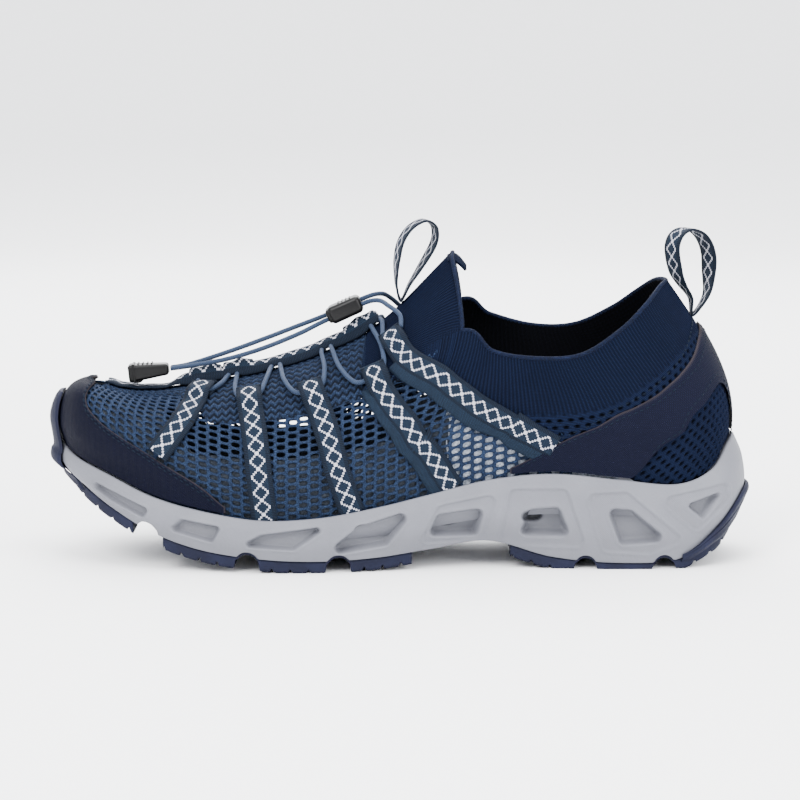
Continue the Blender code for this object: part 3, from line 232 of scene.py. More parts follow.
# Elastic lace of each side: its rows and levels from the toe to the collar, and its height
LACE_DIAMETER = 2.0 * MM
LACE_LIFT = 2.75 * MM
LACE_HEIGHT = 1.55 * MM
LacePoint = namedtuple("LacePoint", "row level")
LACE = [LacePoint(*mark) for mark in (
    (4.78, 3.90), (4.80, 3.72), (4.86, 3.52), (5.08, 3.46), (5.26, 3.58), (5.33, 3.80),
    (5.38, 3.93), (5.47, 3.93), (5.50, 3.74), (5.53, 3.42), (5.62, 3.24), (5.80, 3.20),
    (5.98, 3.24), (6.05, 3.48), (6.08, 3.78), (6.12, 3.93), (6.21, 3.93), (6.26, 3.74),
    (6.38, 3.38), (6.60, 3.12), (6.86, 3.07), (7.06, 3.12), (7.08, 3.38), (6.98, 3.76),
    (7.01, 3.93), (7.11, 3.93), (7.17, 3.72), (7.38, 3.28), (7.68, 2.98), (7.94, 2.95),
    (8.10, 3.02), (8.06, 3.32), (7.88, 3.76), (7.85, 3.92), (7.95, 3.95), (8.04, 3.75),
    (8.08, 3.42), (8.16, 3.29), (8.27, 3.34),
)]

# Cord lock and end clip on the free lace: middle, size and rise towards the heel
LOCK_MIDDLE = (-119.3 * MM, 0, 103.3 * MM)
LOCK_SIZE = (14.5 * MM, 11.0 * MM, 7.6 * MM)
LOCK_RISE = radians(24)
LOCK_BORE = 2.8 * MM
BORE_ASIDE = 2.4 * MM
BORE_UP = 0.9 * MM
CLIP_MIDDLE = (-201.8 * MM, 0, 77.2 * MM)
CLIP_SIZE = (17.0 * MM, 9.0 * MM, 7.6 * MM)
CLIP_RISE = radians(7)
CLIP_TAPER = 0.62
CLIP_BEVEL = 1.3 * MM
CLIP_HOOK = (-206.5 * MM, 0, 73.2 * MM)

# Free lace through the cord lock to the end clip, along the route that the photograph shows
FREE_LACE = {
    "free_lace_outer": [
        (-192.6, -1.9, 78.4), (-184.4, -2.3, 79.6), (-169.3, -2.5, 82.4), (-154.2, -2.5, 86.9),
        (-139.1, -2.5, 93.0), (-129.1, -2.4, 98.0), (-119.0, -2.4, 102.6), (-109.9, -2.4, 106.6),
        (-105.0, -4.5, 107.3), (-101.6, -8.5, 105.8),
    ],
    "free_lace_inner": [
        (-192.6, 1.9, 78.4), (-184.7, 2.3, 79.8), (-169.6, 2.5, 84.6), (-154.4, 2.5, 90.1),
        (-139.3, 2.5, 95.9), (-129.2, 2.4, 99.8), (-119.6, 2.4, 104.1), (-110.2, 2.4, 108.2),
        (-105.0, 4.8, 109.2), (-101.6, 9.0, 107.8),
    ],
}
FREE_LACE_END = 8.30
FREE_LACE_END_LEVEL = 3.37

# Pull loops of tape: places along the shoe and up, from the seam round the loop, and their turn
LOOP_WIDTH = 10.0 * MM
LOOP_WALL = 1.0 * MM
FRONT_LOOP_TURN = radians(15)
HEEL_LOOP_TURN = radians(32)
FRONT_LOOP = [
    (-96.05, 106.95), (-97.9, 112.5), (-98.2, 118.0), (-97.8, 124.2), (-96.1, 131.6), (-92.0, 137.4),
    (-86.2, 140.2), (-82.2, 138.3), (-81.2, 134.4), (-82.2, 130.0), (-84.8, 125.4),
    (-88.8, 119.4), (-92.6, 113.6),
]
HEEL_LOOP = [
    (25.8, 100.95), (24.9, 108.0), (21.0, 113.5), (17.6, 118.6), (15.6, 124.2), (15.0, 130.2),
    (17.4, 135.0), (22.6, 137.0), (28.4, 135.0), (32.4, 130.2), (34.2, 123.8), (33.4, 116.6),
    (31.4, 108.6),
]

LAST = len(SOLE) - 1
PEAK = len(RIDGE) - 1
ROUND = 2 * LAST


def x_at(share):
    """Place along the shoe, from a share of its length behind the toe."""
    return (share - HEEL_REST) * LENGTH


def catmull(before, start, end, after, t):
    """Point on a smooth curve between start and end."""
    lead = (end - before) * 0.5
    trail = (after - start) * 0.5
    return (start * (2 * t ** 3 - 3 * t ** 2 + 1) + lead * (t ** 3 - 2 * t ** 2 + t)
            + end * (3 * t ** 2 - 2 * t ** 3) + trail * (t ** 3 - t ** 2))


def column(values, count=None):
    """Values as one column of numbers, repeated where there is only one."""
    values = np.atleast_1d(np.asarray(values, dtype=float))
    return np.full(count, values[0]) if count and len(values) == 1 else values


def around(loop, place):
    """Points at places on a closed loop of control points."""
    place = column(place)
    base = np.floor(place).astype(int)
    count = len(loop)
    corners = [loop[(base + k) % count] for k in (-1, 0, 1, 2)]
    return catmull(*corners, (place - base)[:, None])


def along(points, place):
    """Points at places on an open line of control points."""
    place = column(place)
    last = len(points) - 1
    base = np.clip(np.floor(place).astype(int), 0, last - 1)
    longer = np.concatenate([points[:1] * 2 - points[1:2], points, points[-1:] * 2 - points[-2:-1]])
    corners = [longer[base + k] for k in (0, 1, 2, 3)]
    return catmull(*corners, (place - base)[:, None])


def run_along(points):
    """How far along a line each of its points lies."""
    return np.concatenate([[0], np.cumsum(np.linalg.norm(np.diff(points, axis=0), axis=1))])


def sided(row, side):
    """Place of a row on the outer side (-1) or the inner side (1)."""
    return row if side < 0 else ROUND - row


def unit(vectors):
    """Vectors made one long."""
    return vectors / np.maximum(np.linalg.norm(vectors, axis=1, keepdims=True), 1e-12)


def bend(points, t):
    """Points between the middle two of four rows of points that may lie unevenly far apart."""
    before, start, end, after = points
    lead, span, trail = start - before, end - start, after - end
    a, b, c = (np.maximum(np.linalg.norm(v, axis=1, keepdims=True), MM) for v in (lead, span, trail))
    leaving = (lead * (b / a) + span * (a / b)) / (a + b) * b
    arriving = (span * (c / b) + trail * (b / c)) / (b + c) * b
    return (start * (2 * t ** 3 - 3 * t ** 2 + 1) + leaving * (t ** 3 - 2 * t ** 2 + t)
            + end * (3 * t ** 2 - 2 * t ** 3) + arriving * (t ** 3 - t ** 2))


def ease(share):
    """Smooth step from 0 to 1."""
    share = np.clip(share, 0.0, 1.0)
    return share * share * (3 - 2 * share)


SIDES = [(row, -1) for row in range(LAST + 1)] + [(row, 1) for row in range(LAST - 1, 0, -1)]
OUTLINE = np.array([[x_at(SOLE[row].along), -SOLE[row].outer * OUTER_HALF if side < 0
                     else SOLE[row].inner * INNER_HALF, 0.0] for row, side in SIDES])
RUN = np.roll(OUTLINE, -1, axis=0) - np.roll(OUTLINE, 1, axis=0)
OUTWARD = unit(np.stack([RUN[:, 1], -RUN[:, 0], np.zeros(ROUND)], axis=1))


def level_loop(inset, height):
    """Loop at an inset from the widest line, with inset and height as functions of the row."""
    insets = np.array([[inset(row)] for row, _side in SIDES])
    heights = np.array([height(row) for row, _side in SIDES])
    points = OUTLINE - OUTWARD * insets
    points[:, 2] = heights
    return points


def rim_inset(row):
    """Inset of the rim's outer edge."""
    return SOLE[row].lean * LEAN


def rim_height(row):
    """Height of the sole's top rim."""
    return SOLE[row].rim * SIDE_HEIGHT


def bed_height(row):
    """Height of the foot bed inside the sole."""
    return SOLE[row].bed * SIDE_HEIGHT


def under_height(row):
    """Height of the midsole's underside at its edge."""
    return SOLE[row].under * SIDE_HEIGHT


LOW_BULGE = 0.35
HIGH_BULGE = 0.72
UNDER = level_loop(lambda row: SOLE[row].tuck * TUCK, under_height)
BULGE = level_loop(lambda row: 0.12 * SOLE[row].tuck * TUCK,
                   lambda row: under_height(row) * (1 - LOW_BULGE) + rim_height(row) * LOW_BULGE)
WAIST = level_loop(lambda row: 0.3 * rim_inset(row),
                   lambda row: under_height(row) * (1 - HIGH_BULGE) + rim_height(row) * HIGH_BULGE)
RIM = level_loop(rim_inset, rim_height)
RIM_TOP = level_loop(lambda row: rim_inset(row) + 0.35 * LIP, lambda row: rim_height(row) + 0.35 * MM)
LIP_IN = level_loop(lambda row: rim_inset(row) + LIP, lambda row: rim_height(row) - 0.6 * MM)
BED = level_loop(lambda row: rim_inset(row) + LIP + CUP_SLOPE, bed_height)
UPPER_BASE = level_loop(lambda row: rim_inset(row) + LIP + CUP_SLOPE + GAP,
                        lambda row: bed_height(row) + GAP)
UPPER_BITE = level_loop(lambda row: rim_inset(row) + LIP + GAP, rim_height)
UPPER_SIDE = level_loop(lambda row: UPPER[row].inset * SIDE_INSET,
                        lambda row: UPPER[row].side_up * TONGUE_HEIGHT)
SHOULDER = np.array([[x_at(UPPER[row].along),
                      -UPPER[row].outer * OUTER_HALF if side < 0 else UPPER[row].inner * INNER_HALF,
                      (UPPER[row].outer_up if side < 0 else UPPER[row].inner_up) * TONGUE_HEIGHT]
                     for row, side in SIDES])
RIDGE_LINE = np.array([[x_at(row.along), row.aside * INNER_HALF, row.up * TONGUE_HEIGHT]
                       for row in RIDGE])
RIDGE_MIRRORED = np.concatenate([RIDGE_LINE[1:2], RIDGE_LINE,
                                 RIDGE_LINE[-1:] * 2 - RIDGE_LINE[-2:-1]])
COLLAR_EASE = 2.0
HEEL_LEAN = 12 * MM


def ridge_at(row):
    """Points on the vamp's ridge beside rows of the sole."""
    base = np.clip(np.floor(row).astype(int), 0, PEAK - 1)
    corners = [RIDGE_MIRRORED[base + k] for k in (0, 1, 2, 3)]
    return catmull(*corners, (row - base)[:, None])


def row_of(place):
    """Row of the sole beside a place on the loop."""
    place = np.mod(place, ROUND)
    return np.minimum(place, ROUND - place)


def level_out(place):
    """Level direction out of the sole at places on the loop."""
    run = around(OUTLINE, place + 0.05) - around(OUTLINE, place - 0.05)
    return unit(np.stack([run[:, 1], -run[:, 0], np.zeros(len(run))], axis=1))


def upper_point(place, level):
    """Points on the upper's outside. Levels: 0 base, 1 bite line, 2 side, 3 shoulder, 4 ridge."""
    place, level = column(place), column(level)
    count = max(len(place), len(level))
    place, level = column(place, count), column(level, count)
    row = row_of(place)
    base, bite, side, shoulder = (around(loop, place)
                                  for loop in (UPPER_BASE, UPPER_BITE, UPPER_SIDE, SHOULDER))
    front = (row <= PEAK)[:, None]
    ridge = ridge_at(np.minimum(row, PEAK))
    outer = (np.mod(place, ROUND) < LAST)[:, None]
    corner = np.where(outer, SHOULDER[PEAK], SHOULDER[ROUND - PEAK])
    closing = RIDGE_LINE[PEAK] - corner
    straight = (shoulder - side) * 0.5
    straight -= level_out(place) * HEEL_LEAN * ease((row - LAST) / COLLAR_EASE + 1)[:, None]
    share = ease((row - PEAK) / COLLAR_EASE)[:, None]
    behind = shoulder + closing * (1 - share) + straight * share
    crest = np.where(front, ridge, behind)
    across = np.where(front, around(SHOULDER, ROUND - np.mod(place, ROUND)), behind)
    rows = np.stack([base * 2 - bite, base, bite, side, shoulder, crest, across])
    first = np.clip(np.floor(level).astype(int), 0, 3)
    pick = np.arange(count)
    return bend([rows[first + k, pick] for k in range(4)], (level - first)[:, None])


def upper_normal(place, level):
    """Directions that point out of the upper."""
    place, level = column(place), column(level)
    step = 0.02
    low, high = np.maximum(level - step, 0), np.minimum(level + step, 4)
    run = upper_point(place + step, level) - upper_point(place - step, level)
    rise = upper_point(place, high) - upper_point(place, low)
    return unit(np.cross(run, rise))


def raised(place, level, height):
    """Points at a height above the upper."""
    height = np.asarray(height, dtype=float)
    height = height[:, None] if height.ndim else height
    return upper_point(place, level) + upper_normal(place, level) * height


def walk(place, level, move):
    """Places and levels reached by short moves over the upper."""
    step = 0.02
    low, high = np.maximum(level - step, 0), np.minimum(level + step, 4)
    run = (upper_point(place + step, level) - upper_point(place - step, level)) / (2 * step)
    rise = (upper_point(place, high) - upper_point(place, low)) / (high - low)[:, None]

    def dot(a, b):
        return np.einsum("ij,ij->i", a, b)

    square, mixed, upright = dot(run, run), dot(run, rise), dot(rise, rise)
    right, up = dot(move, run), dot(move, rise)
    scale = square * upright - mixed * mixed
    return (place + (right * upright - up * mixed) / scale,
            np.minimum(level + (up * square - right * mixed) / scale, 4))


def edge_level(rows, row):
    """Level of an edge beside rows of the sole, straight between its table's rows."""
    return np.interp(row, [mark.row for mark in rows], [mark.level for mark in rows],
                     left=0.0, right=0.0)


def flex_top(x):
    """Height of a flex groove at places along the shoe, or below the ground between grooves."""
    top = np.full(len(x), -1.0)
    for groove in FLEX:
        away = np.abs(x - x_at(groove.along))
        inside = away <= groove.radius
        arch = groove.top - groove.radius + np.sqrt(np.maximum(groove.radius ** 2 - away ** 2, 0))
        top = np.where(inside, arch, top)
    return top


def under_point(row, share):
    """Points on the midsole's underside, from -1 at the outer edge to 1 at the inner."""
    outer, inner = around(UNDER, row), around(UNDER, ROUND - row)
    points = outer + (inner - outer) * ((share + 1) / 2)[:, None]
    points[:, 2] = np.maximum(points[:, 2], flex_top(around(OUTLINE, row)[:, 0]))
    points[:, 2] -= CROWN * (1 - share * share) * ease(row / 2) * ease((LAST - row) / 2)
    return points


def even_rows(count, start=0.0, end=float(LAST)):
    """Rows that lie evenly far apart along the outer edge of the sole."""
    fine = np.linspace(start, end, 600)
    gone = run_along(around(OUTLINE, fine))
    return np.interp(np.linspace(0, gone[-1], count), gone, fine)


def polygon_distance(x, z, corners):
    """Distance from a polygon's edge, negative inside it."""
    nearest = np.full(len(x), 1e9)
    inside = np.zeros(len(x), dtype=bool)
    for (ax, az), (bx, bz) in zip(corners, corners[1:] + corners[:1]):
        ex, ez = bx - ax, bz - az
        share = np.clip(((x - ax) * ex + (z - az) * ez) / (ex * ex + ez * ez), 0, 1)
        nearest = np.minimum(nearest, np.hypot(x - ax - ex * share, z - az - ez * share))
        crosses = (az > z) != (bz > z)
        with np.errstate(divide="ignore", invalid="ignore"):
            inside ^= crosses & (x < ex * (z - az) / np.where(ez == 0, 1e-12, ez) + ax)
    return np.where(inside, -nearest, nearest)


def shrunk(corners, amount):
    """Polygon moved inwards by an amount on every side."""
    middle = np.mean(corners, axis=0)
    result = []
    for before, corner, after in zip(corners[-1:] + corners[:-1], corners, corners[1:] + corners[:1]):
        first = np.subtract(corner, before) / np.hypot(*np.subtract(corner, before))
        second = np.subtract(after, corner) / np.hypot(*np.subtract(after, corner))
        inward = [np.array([-v[1], v[0]]) for v in (first, second)]
        if np.dot(inward[0], middle - np.array(corner)) < 0:
            inward = [-v for v in inward]
        both = inward[0] + inward[1]
        result.append(tuple(np.array(corner) + both * amount / max(np.dot(both, inward[0]), 0.35)))
    return result


def link(piece):
    """Put a piece into the scene and let it ride on the shoe."""
    bpy.context.scene.collection.objects.link(piece)
    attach(piece, "root")
    return piece


def finish_piece(piece, slot, *nodes):
    """Hide the solids that a piece stands for and return the piece; the slot argument is not used."""
    if nodes:
        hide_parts(*nodes)
    return piece


def grid_piece(name, columns, rows, shape, material, marks=None):
    """Sheet made from a grid, whose points, UV in metres and marks come from a shape function."""
    bm = bmesh.new()
    bm.loops.layers.uv.new("UVMap")
    bmesh.ops.create_grid(bm, x_segments=columns, y_segments=rows, size=0.5, calc_uvs=True)
    mesh = bpy.data.meshes.new(name)
    bm.to_mesh(mesh)
    bm.free()
    count = len(mesh.vertices)
    flat = np.empty(count * 3, dtype=np.float32)
    mesh.vertices.foreach_get("co", flat)
    u, v = flat.reshape(-1, 3)[:, 0] + 0.5, flat.reshape(-1, 3)[:, 1] + 0.5
    points, uv, tints = shape(np.clip(u.astype(float), 0, 1), np.clip(v.astype(float), 0, 1))
    mesh.vertices.foreach_set("co", points.astype(np.float32).ravel())
    corner = np.empty(len(mesh.loops), dtype=np.int32)
    mesh.loops.foreach_get("vertex_index", corner)
    mesh.uv_layers["UVMap"].data.foreach_set("uv", uv[corner].astype(np.float32).ravel())
    for mark, values in (tints or {}).items():
        layer = mesh.attributes.new(mark, "FLOAT", "POINT")
        layer.data.foreach_set("value", values.astype(np.float32))
    mesh.materials.append(material)
    mesh.shade_smooth()
    mesh.update()
    return link(bpy.data.objects.new(name, mesh))


def reworked(piece, work):
    """Change a piece's mesh by a function of its bmesh."""
    bm = bmesh.new()
    bm.from_mesh(piece.data)
    work(bm)
    bm.to_mesh(piece.data)
    bm.free()
    return piece


def weld(piece):
    """Close the seams of a sheet that meets itself."""
    def work(bm):
        bmesh.ops.remove_doubles(bm, verts=bm.verts, dist=WELD_DISTANCE)
        bmesh.ops.dissolve_degenerate(bm, edges=bm.edges, dist=WELD_DISTANCE)
    return reworked(piece, work)


def face_outwards(piece):
    """Turn a closed piece's faces outwards."""
    return reworked(piece, lambda bm: bmesh.ops.recalc_face_normals(bm, faces=bm.faces))


def sealed(piece, sides, split=False):
    """Weld a piece, fill its ends of up to some sides, split its large faces if asked."""
    def work(bm):
        bmesh.ops.holes_fill(bm, edges=[e for e in bm.edges if e.is_boundary], sides=sides)
        if split:
            bmesh.ops.triangulate(bm, faces=[f for f in bm.faces if len(f.verts) > 4])
    return face_outwards(reworked(weld(piece), work))


def facing(piece, side):
    """Turn a sheet of the inner side over, as it was made the other way round."""
    if side < 0:
        return piece
    return reworked(piece, lambda bm: bmesh.ops.reverse_faces(bm, faces=bm.faces))


def piece_from(bm, name, material):
    """Piece made from a bmesh."""
    mesh = bpy.data.meshes.new(name)
    bm.to_mesh(mesh)
    bm.free()
    mesh.materials.append(material)
    mesh.shade_smooth()
    return link(bpy.data.objects.new(name, mesh))


def thicken(piece, thickness, offset=-1.0):
    """Give a sheet its thickness."""
    wall = piece.modifiers.new("wall", "SOLIDIFY")
    wall.thickness = thickness
    wall.offset = offset
    return piece


def subdivide(piece, levels):
    """Smooth a coarse piece."""
    smooth = piece.modifiers.new("smooth", "SUBSURF")
    smooth.levels = levels
    smooth.render_levels = levels
    return piece


def tube(name, points, radius, material, sides=10, closed=False):
    """Round tube along points, with UV in metres: u along it and v round it."""
    points = np.asarray(points, dtype=float)
    if closed:
        points = np.concatenate([points, points[:1]])
    gone = run_along(points)
    ahead = unit(np.gradient(points, axis=0))
    if closed:
        ahead[0] = ahead[-1] = unit((points[1] - points[-2])[None])[0]
    side = np.zeros_like(points)
    last = np.cross(ahead[0], [0.0, 0.0, 1.0])
    if np.linalg.norm(last) < 0.1:
        last = np.cross(ahead[0], [0.0, 1.0, 0.0])
    for index, way in enumerate(ahead):
        last = last - way * np.dot(last, way)
        last /= np.linalg.norm(last)
        side[index] = last
    up = np.cross(side, ahead)
    radii = column(radius, len(points))

    def shape(u, v):
        index = np.rint(u * (len(points) - 1)).astype(int)
        turn = 2 * pi * v
        ring = side[index] * np.cos(turn)[:, None] + up[index] * np.sin(turn)[:, None]
        place = points[index] + ring * radii[index][:, None]
        return place, np.stack([gone[index], v * 2 * pi * radii[index]], axis=1), None

    piece = grid_piece(name, len(points) - 1, sides, shape, material)
    return face_outwards(weld(piece)) if closed else sealed(piece, sides + 2)


def resample(points, spacing):
    """Points at an even spacing along a smooth curve through a route's own points."""
    points = np.asarray(points, dtype=float)
    places = np.linspace(0, len(points) - 1, (len(points) - 1) * 12 + 1)
    first, last = points[:1], points[-1:]
    longer = np.concatenate([first, points, last])
    base = np.clip(np.floor(places).astype(int), 0, len(points) - 2)
    fine = catmull(*[longer[base + k] for k in (0, 1, 2, 3)], (places - base)[:, None])
    gone = run_along(fine)
    count = max(int(round(gone[-1] / spacing)), 2) + 1
    marks = np.linspace(0, gone[-1], count)
    return np.stack([np.interp(marks, gone, fine[:, k]) for k in range(3)], axis=1)


class Sig:
    """A number in a material's node graph, which takes part in sums as a plain number does."""

    def __init__(self, net, socket):
        self.net, self.socket = net, socket

    def _math(self, kind, *others):
        return self.net.math(kind, self, *others)

    def __add__(self, other):
        return self._math("ADD", other)

    def __sub__(self, other):
        return self._math("SUBTRACT", other)

    def __rsub__(self, other):
        return self.net.math("SUBTRACT", other, self)

    def __mul__(self, other):
        return self._math("MULTIPLY", other)

    def __truediv__(self, other):
        return self._math("DIVIDE", other)

    def __abs__(self):
        return self._math("ABSOLUTE")

    def wrap(self, low, high):
        """The number brought into a range by whole turns."""
        return self._math("WRAP", high, low)

    def floor(self):
        """Next whole number below."""
        return self._math("FLOOR")

    def sine(self):
        """Sine of the number, brought between 0 and 1."""
        return self._math("SINE") * 0.5 + 0.5

    def wave(self, pitch):
        """Wave between 0 and 1 with a pitch."""
        return (self * (2 * pi / pitch)).sine()

    def below(self, edge):
        """1 where the number is smaller than an edge, otherwise 0."""
        return self._math("LESS_THAN", edge)

    def top(self, other):
        """The larger of two numbers."""
        return self._math("MAXIMUM", other)

    def ramp(self, low, high):
        """Smooth step from 0 at low to 1 at high."""
        node = self.net.add("ShaderNodeMapRange", interpolation_type="SMOOTHSTEP")
        node.inputs["From Min"].default_value = low
        node.inputs["From Max"].default_value = high
        self.net.tree.links.new(self.socket, node.inputs["Value"])
        return Sig(self.net, node.outputs["Result"])


class Net:
    """A Principled material that is built up from numbers."""

    def __init__(self, name, roughness, specular=0.4):
        self.material = bpy.data.materials.new(name)
        self.material.use_nodes = True
        self.tree = self.material.node_tree
        self.shader = self.tree.nodes["Principled BSDF"]
        self.shader.inputs["Roughness"].default_value = roughness
        self.shader.inputs["Specular IOR Level"].default_value = specular

    def add(self, kind, **settings):
        """New node."""
        node = self.tree.nodes.new(kind)
        for key, value in settings.items():
            setattr(node, key, value)
        return node

    def put(self, value, socket):
        """Give a socket a number, a colour or another node's output."""
        if isinstance(value, Sig):
            self.tree.links.new(value.socket, socket)
        else:
            socket.default_value = value

    def math(self, kind, *values):
        """Number worked out from others."""
        node = self.add("ShaderNodeMath", operation=kind)
        for value, socket in zip(values, node.inputs):
            self.put(value, socket)
        return Sig(self, node.outputs[0])

    def axes(self, source="UV", scale=1000.0):
        """The piece's own coordinates in millimetres, one number for each axis."""
        where = self.add("ShaderNodeTexCoord")
        split = self.add("ShaderNodeSeparateXYZ")
        self.tree.links.new(where.outputs[source], split.inputs[0])
        return [Sig(self, output) * scale for output in split.outputs]

    def noise(self, size, source="Object", detail=3.0, stretch=(1, 1, 1), rough=0.55):
        """Noise whose features have a size in metres."""
        where = self.add("ShaderNodeTexCoord")
        fit = self.add("ShaderNodeMapping")
        fit.inputs["Scale"].default_value = [value / size for value in stretch]
        node = self.add("ShaderNodeTexNoise")
        node.inputs["Scale"].default_value = 1.0
        node.inputs["Detail"].default_value = detail
        node.inputs["Roughness"].default_value = rough
        self.tree.links.new(where.outputs[source], fit.inputs["Vector"])
        self.tree.links.new(fit.outputs["Vector"], node.inputs["Vector"])
        return Sig(self, node.outputs["Fac"])

    def cells(self, size, source="Object"):
        """Distance to the nearest of scattered points, as a share of their spacing."""
        where = self.add("ShaderNodeTexCoord")
        node = self.add("ShaderNodeTexVoronoi")
        node.inputs["Scale"].default_value = 1 / size
        self.tree.links.new(where.outputs[source], node.inputs["Vector"])
        return Sig(self, node.outputs["Distance"])

    def mark(self, name):
        """Number that the piece carries at each point."""
        return Sig(self, self.add("ShaderNodeAttribute", attribute_name=name).outputs["Fac"])

    def mix(self, share, low, high):
        """Colour between two colours."""
        node = self.add("ShaderNodeMix", data_type="RGBA")
        self.put(share, node.inputs["Factor"])
        for colour, socket in ((low, node.inputs[6]), (high, node.inputs[7])):
            self.put(colour if isinstance(colour, Sig) else (*colour, 1.0), socket)
        return Sig(self, node.outputs[2])

    def finish(self, colour, height=None, distance=0.0002, strength=1.0, roughness=None,
               sheen=0.0, sheen_tint=None):
        """Connect colour, relief and roughness, and return the material."""
        self.put(colour, self.shader.inputs["Base Color"])
        if roughness is not None:
            self.put(roughness, self.shader.inputs["Roughness"])
        if height is not None:
            bump = self.add("ShaderNodeBump")
            bump.inputs["Distance"].default_value = distance
            bump.inputs["Strength"].default_value = strength
            self.put(height, bump.inputs["Height"])
            self.tree.links.new(bump.outputs["Normal"], self.shader.inputs["Normal"])
        if sheen:
            self.shader.inputs["Sheen Weight"].default_value = sheen
            self.shader.inputs["Sheen Roughness"].default_value = 0.5
            if sheen_tint:
                self.shader.inputs["Sheen Tint"].default_value = (*sheen_tint, 1.0)
        return self.material


def shade(colour, factor):
    """Colour made lighter or darker."""
    return tuple(min(channel * factor, 1.0) for channel in colour)


def foam_material(look):
    """Moulded grey foam with a pebbled skin, its panels finely cross-hatched, with painted shade inside
    the sunken windows and near-black painted shade in the drain holes.
    """
    net = Net("midsole_foam", 0.62, 0.35)
    along, up, _ = net.axes()
    panel = net.mark("panel")
    hatch = abs((along + up).wrap(-0.45, 0.45)) + abs((along - up).wrap(-0.45, 0.45))
    grain = net.cells(0.0011) * 0.5 + net.noise(0.0005, detail=2) * 0.3
    height = grain * (1.0 - panel * 0.8) + hatch * panel * 0.9
    blotch = net.noise(0.018)
    tone = net.mix(blotch.ramp(0.3, 0.75), shade(look, 0.93), shade(look, 1.05))
    # Painted shade: the insides of the sunken windows darkened.
    recess_shade = net.mark("recess_shade")
    tone = net.mix(recess_shade * 0.35, tone, shade(look, 0.6))
    # Painted shade: the drain holes filled with near black.
    tone = net.mix(net.mark("hole"), tone, (0.004, 0.005, 0.008))
    tone = net.mix(net.cells(0.0006).ramp(0.0, 0.5) * 0.1, tone, shade(look, 0.75))
    return net.finish(tone, height, 0.00022, 0.75)


def rubber_material(look):
    """Navy rubber with a fine dull grain."""
    net = Net("navy_rubber", 0.7, 0.12)
    grain = net.noise(0.0004, detail=4)
    cloud = net.noise(0.012)
    tone = net.mix(cloud.ramp(0.3, 0.8), shade(look, 0.8), shade(look, 1.3))
    tone = net.mix(grain.ramp(0.55, 0.8) * 0.35, tone, shade(look, 2.2))
    return net.finish(tone, grain + net.cells(0.0009) * 0.5, 0.00012, 0.6, grain * 0.25 + 0.55)


def yarn_material(name, look, bright, size=0.00042, recess_shade=True):
    """Knitted yarn: fine twisted threads, with painted shade in the pits of its relief."""
    net = Net(name, 0.85, 0.08)
    fibre = net.noise(size, detail=3, rough=0.7)
    blotch = net.noise(0.006)
    tone = net.mix(fibre.ramp(0.35, 0.72), shade(look, 0.45), bright)
    tone = net.mix(blotch.ramp(0.35, 0.7) * 0.35, tone, shade(look, 0.7))
    # Painted shade: the pits of the relief darkened, where asked for.
    if recess_shade:
        tone = net.mix(net.mark("pit"), tone, shade(look, 0.16))
    return net.finish(tone, fibre, 0.00022, 0.9, sheen=0.08, sheen_tint=bright)


def rib_material(name, look, bright, dark=0.3):
    """Fine rib knit: stitches in a chain along every rib, with painted shade between the ribs and in the
    dimples.
    """
    net = Net(name, 0.9, 0.05)
    _, along, _ = net.axes()
    rib = net.mark("rib")
    stitch = (along * (2 * pi / 0.62) + abs(rib) * 3.0).sine()
    fibre = net.noise(0.0003, detail=3, rough=0.7)
    weight = stitch * 0.45 + fibre * 0.55
    tone = net.mix(weight.ramp(0.3, 0.75), shade(look, 0.62), bright)
    # Painted shade: the valleys between the ribs darkened.
    tone = net.mix((1.0 - rib) * (1.0 - dark), tone, shade(look, 0.3))
    # Painted shade: the dimples of the coarse knit darkened.
    tone = net.mix(net.mark("pit"), tone, shade(look, 0.14))
    tone = net.mix(net.noise(0.014).ramp(0.35, 0.75) * 0.25, tone, shade(look, 0.6))
    return net.finish(tone, weight, 0.00018, 0.8, sheen=0.06, sheen_tint=bright)


def weave_material(name, look, bright, pitch, chevron):
    """Coated overlay cloth: a diamond grid, or a chevron weave, with a painted highlight along its free
    edges.
    """
    net = Net(name, 0.75, 0.06)
    along, up, _ = net.axes()
    if chevron:
        zig = abs((along / 3.6).wrap(-0.5, 0.5)) * 3.6
        line = (zig + up).wave(pitch)
        other = along.wave(pitch * 0.9)
        knot = line * 0.75 + other * 0.25
    else:
        one = (along + up).wave(pitch)
        two = (along - up).wave(pitch)
        knot = one * two
    fibre = net.noise(0.0005, detail=2)
    tone = net.mix(knot.ramp(0.1, 0.7), shade(look, 0.55), bright)
    tone = net.mix(net.noise(0.02).ramp(0.3, 0.75) * 0.4, tone, shade(look, 0.75))
    # Painted highlight: a pale grey line along the overlay's free edges.
    tone = net.mix(net.mark("edge"), tone, (0.022, 0.018, 0.021))
    return net.finish(tone, knot + fibre * 0.25, 0.00026, 0.9, fibre * 0.2 + 0.6)


# Pattern of the tape in millimetres: one diamond, one thread and half the patterned width
DIAMOND_PITCH = 6.2
THREAD = DIAMOND_PITCH / 8
PATTERN_HALF = 3.3


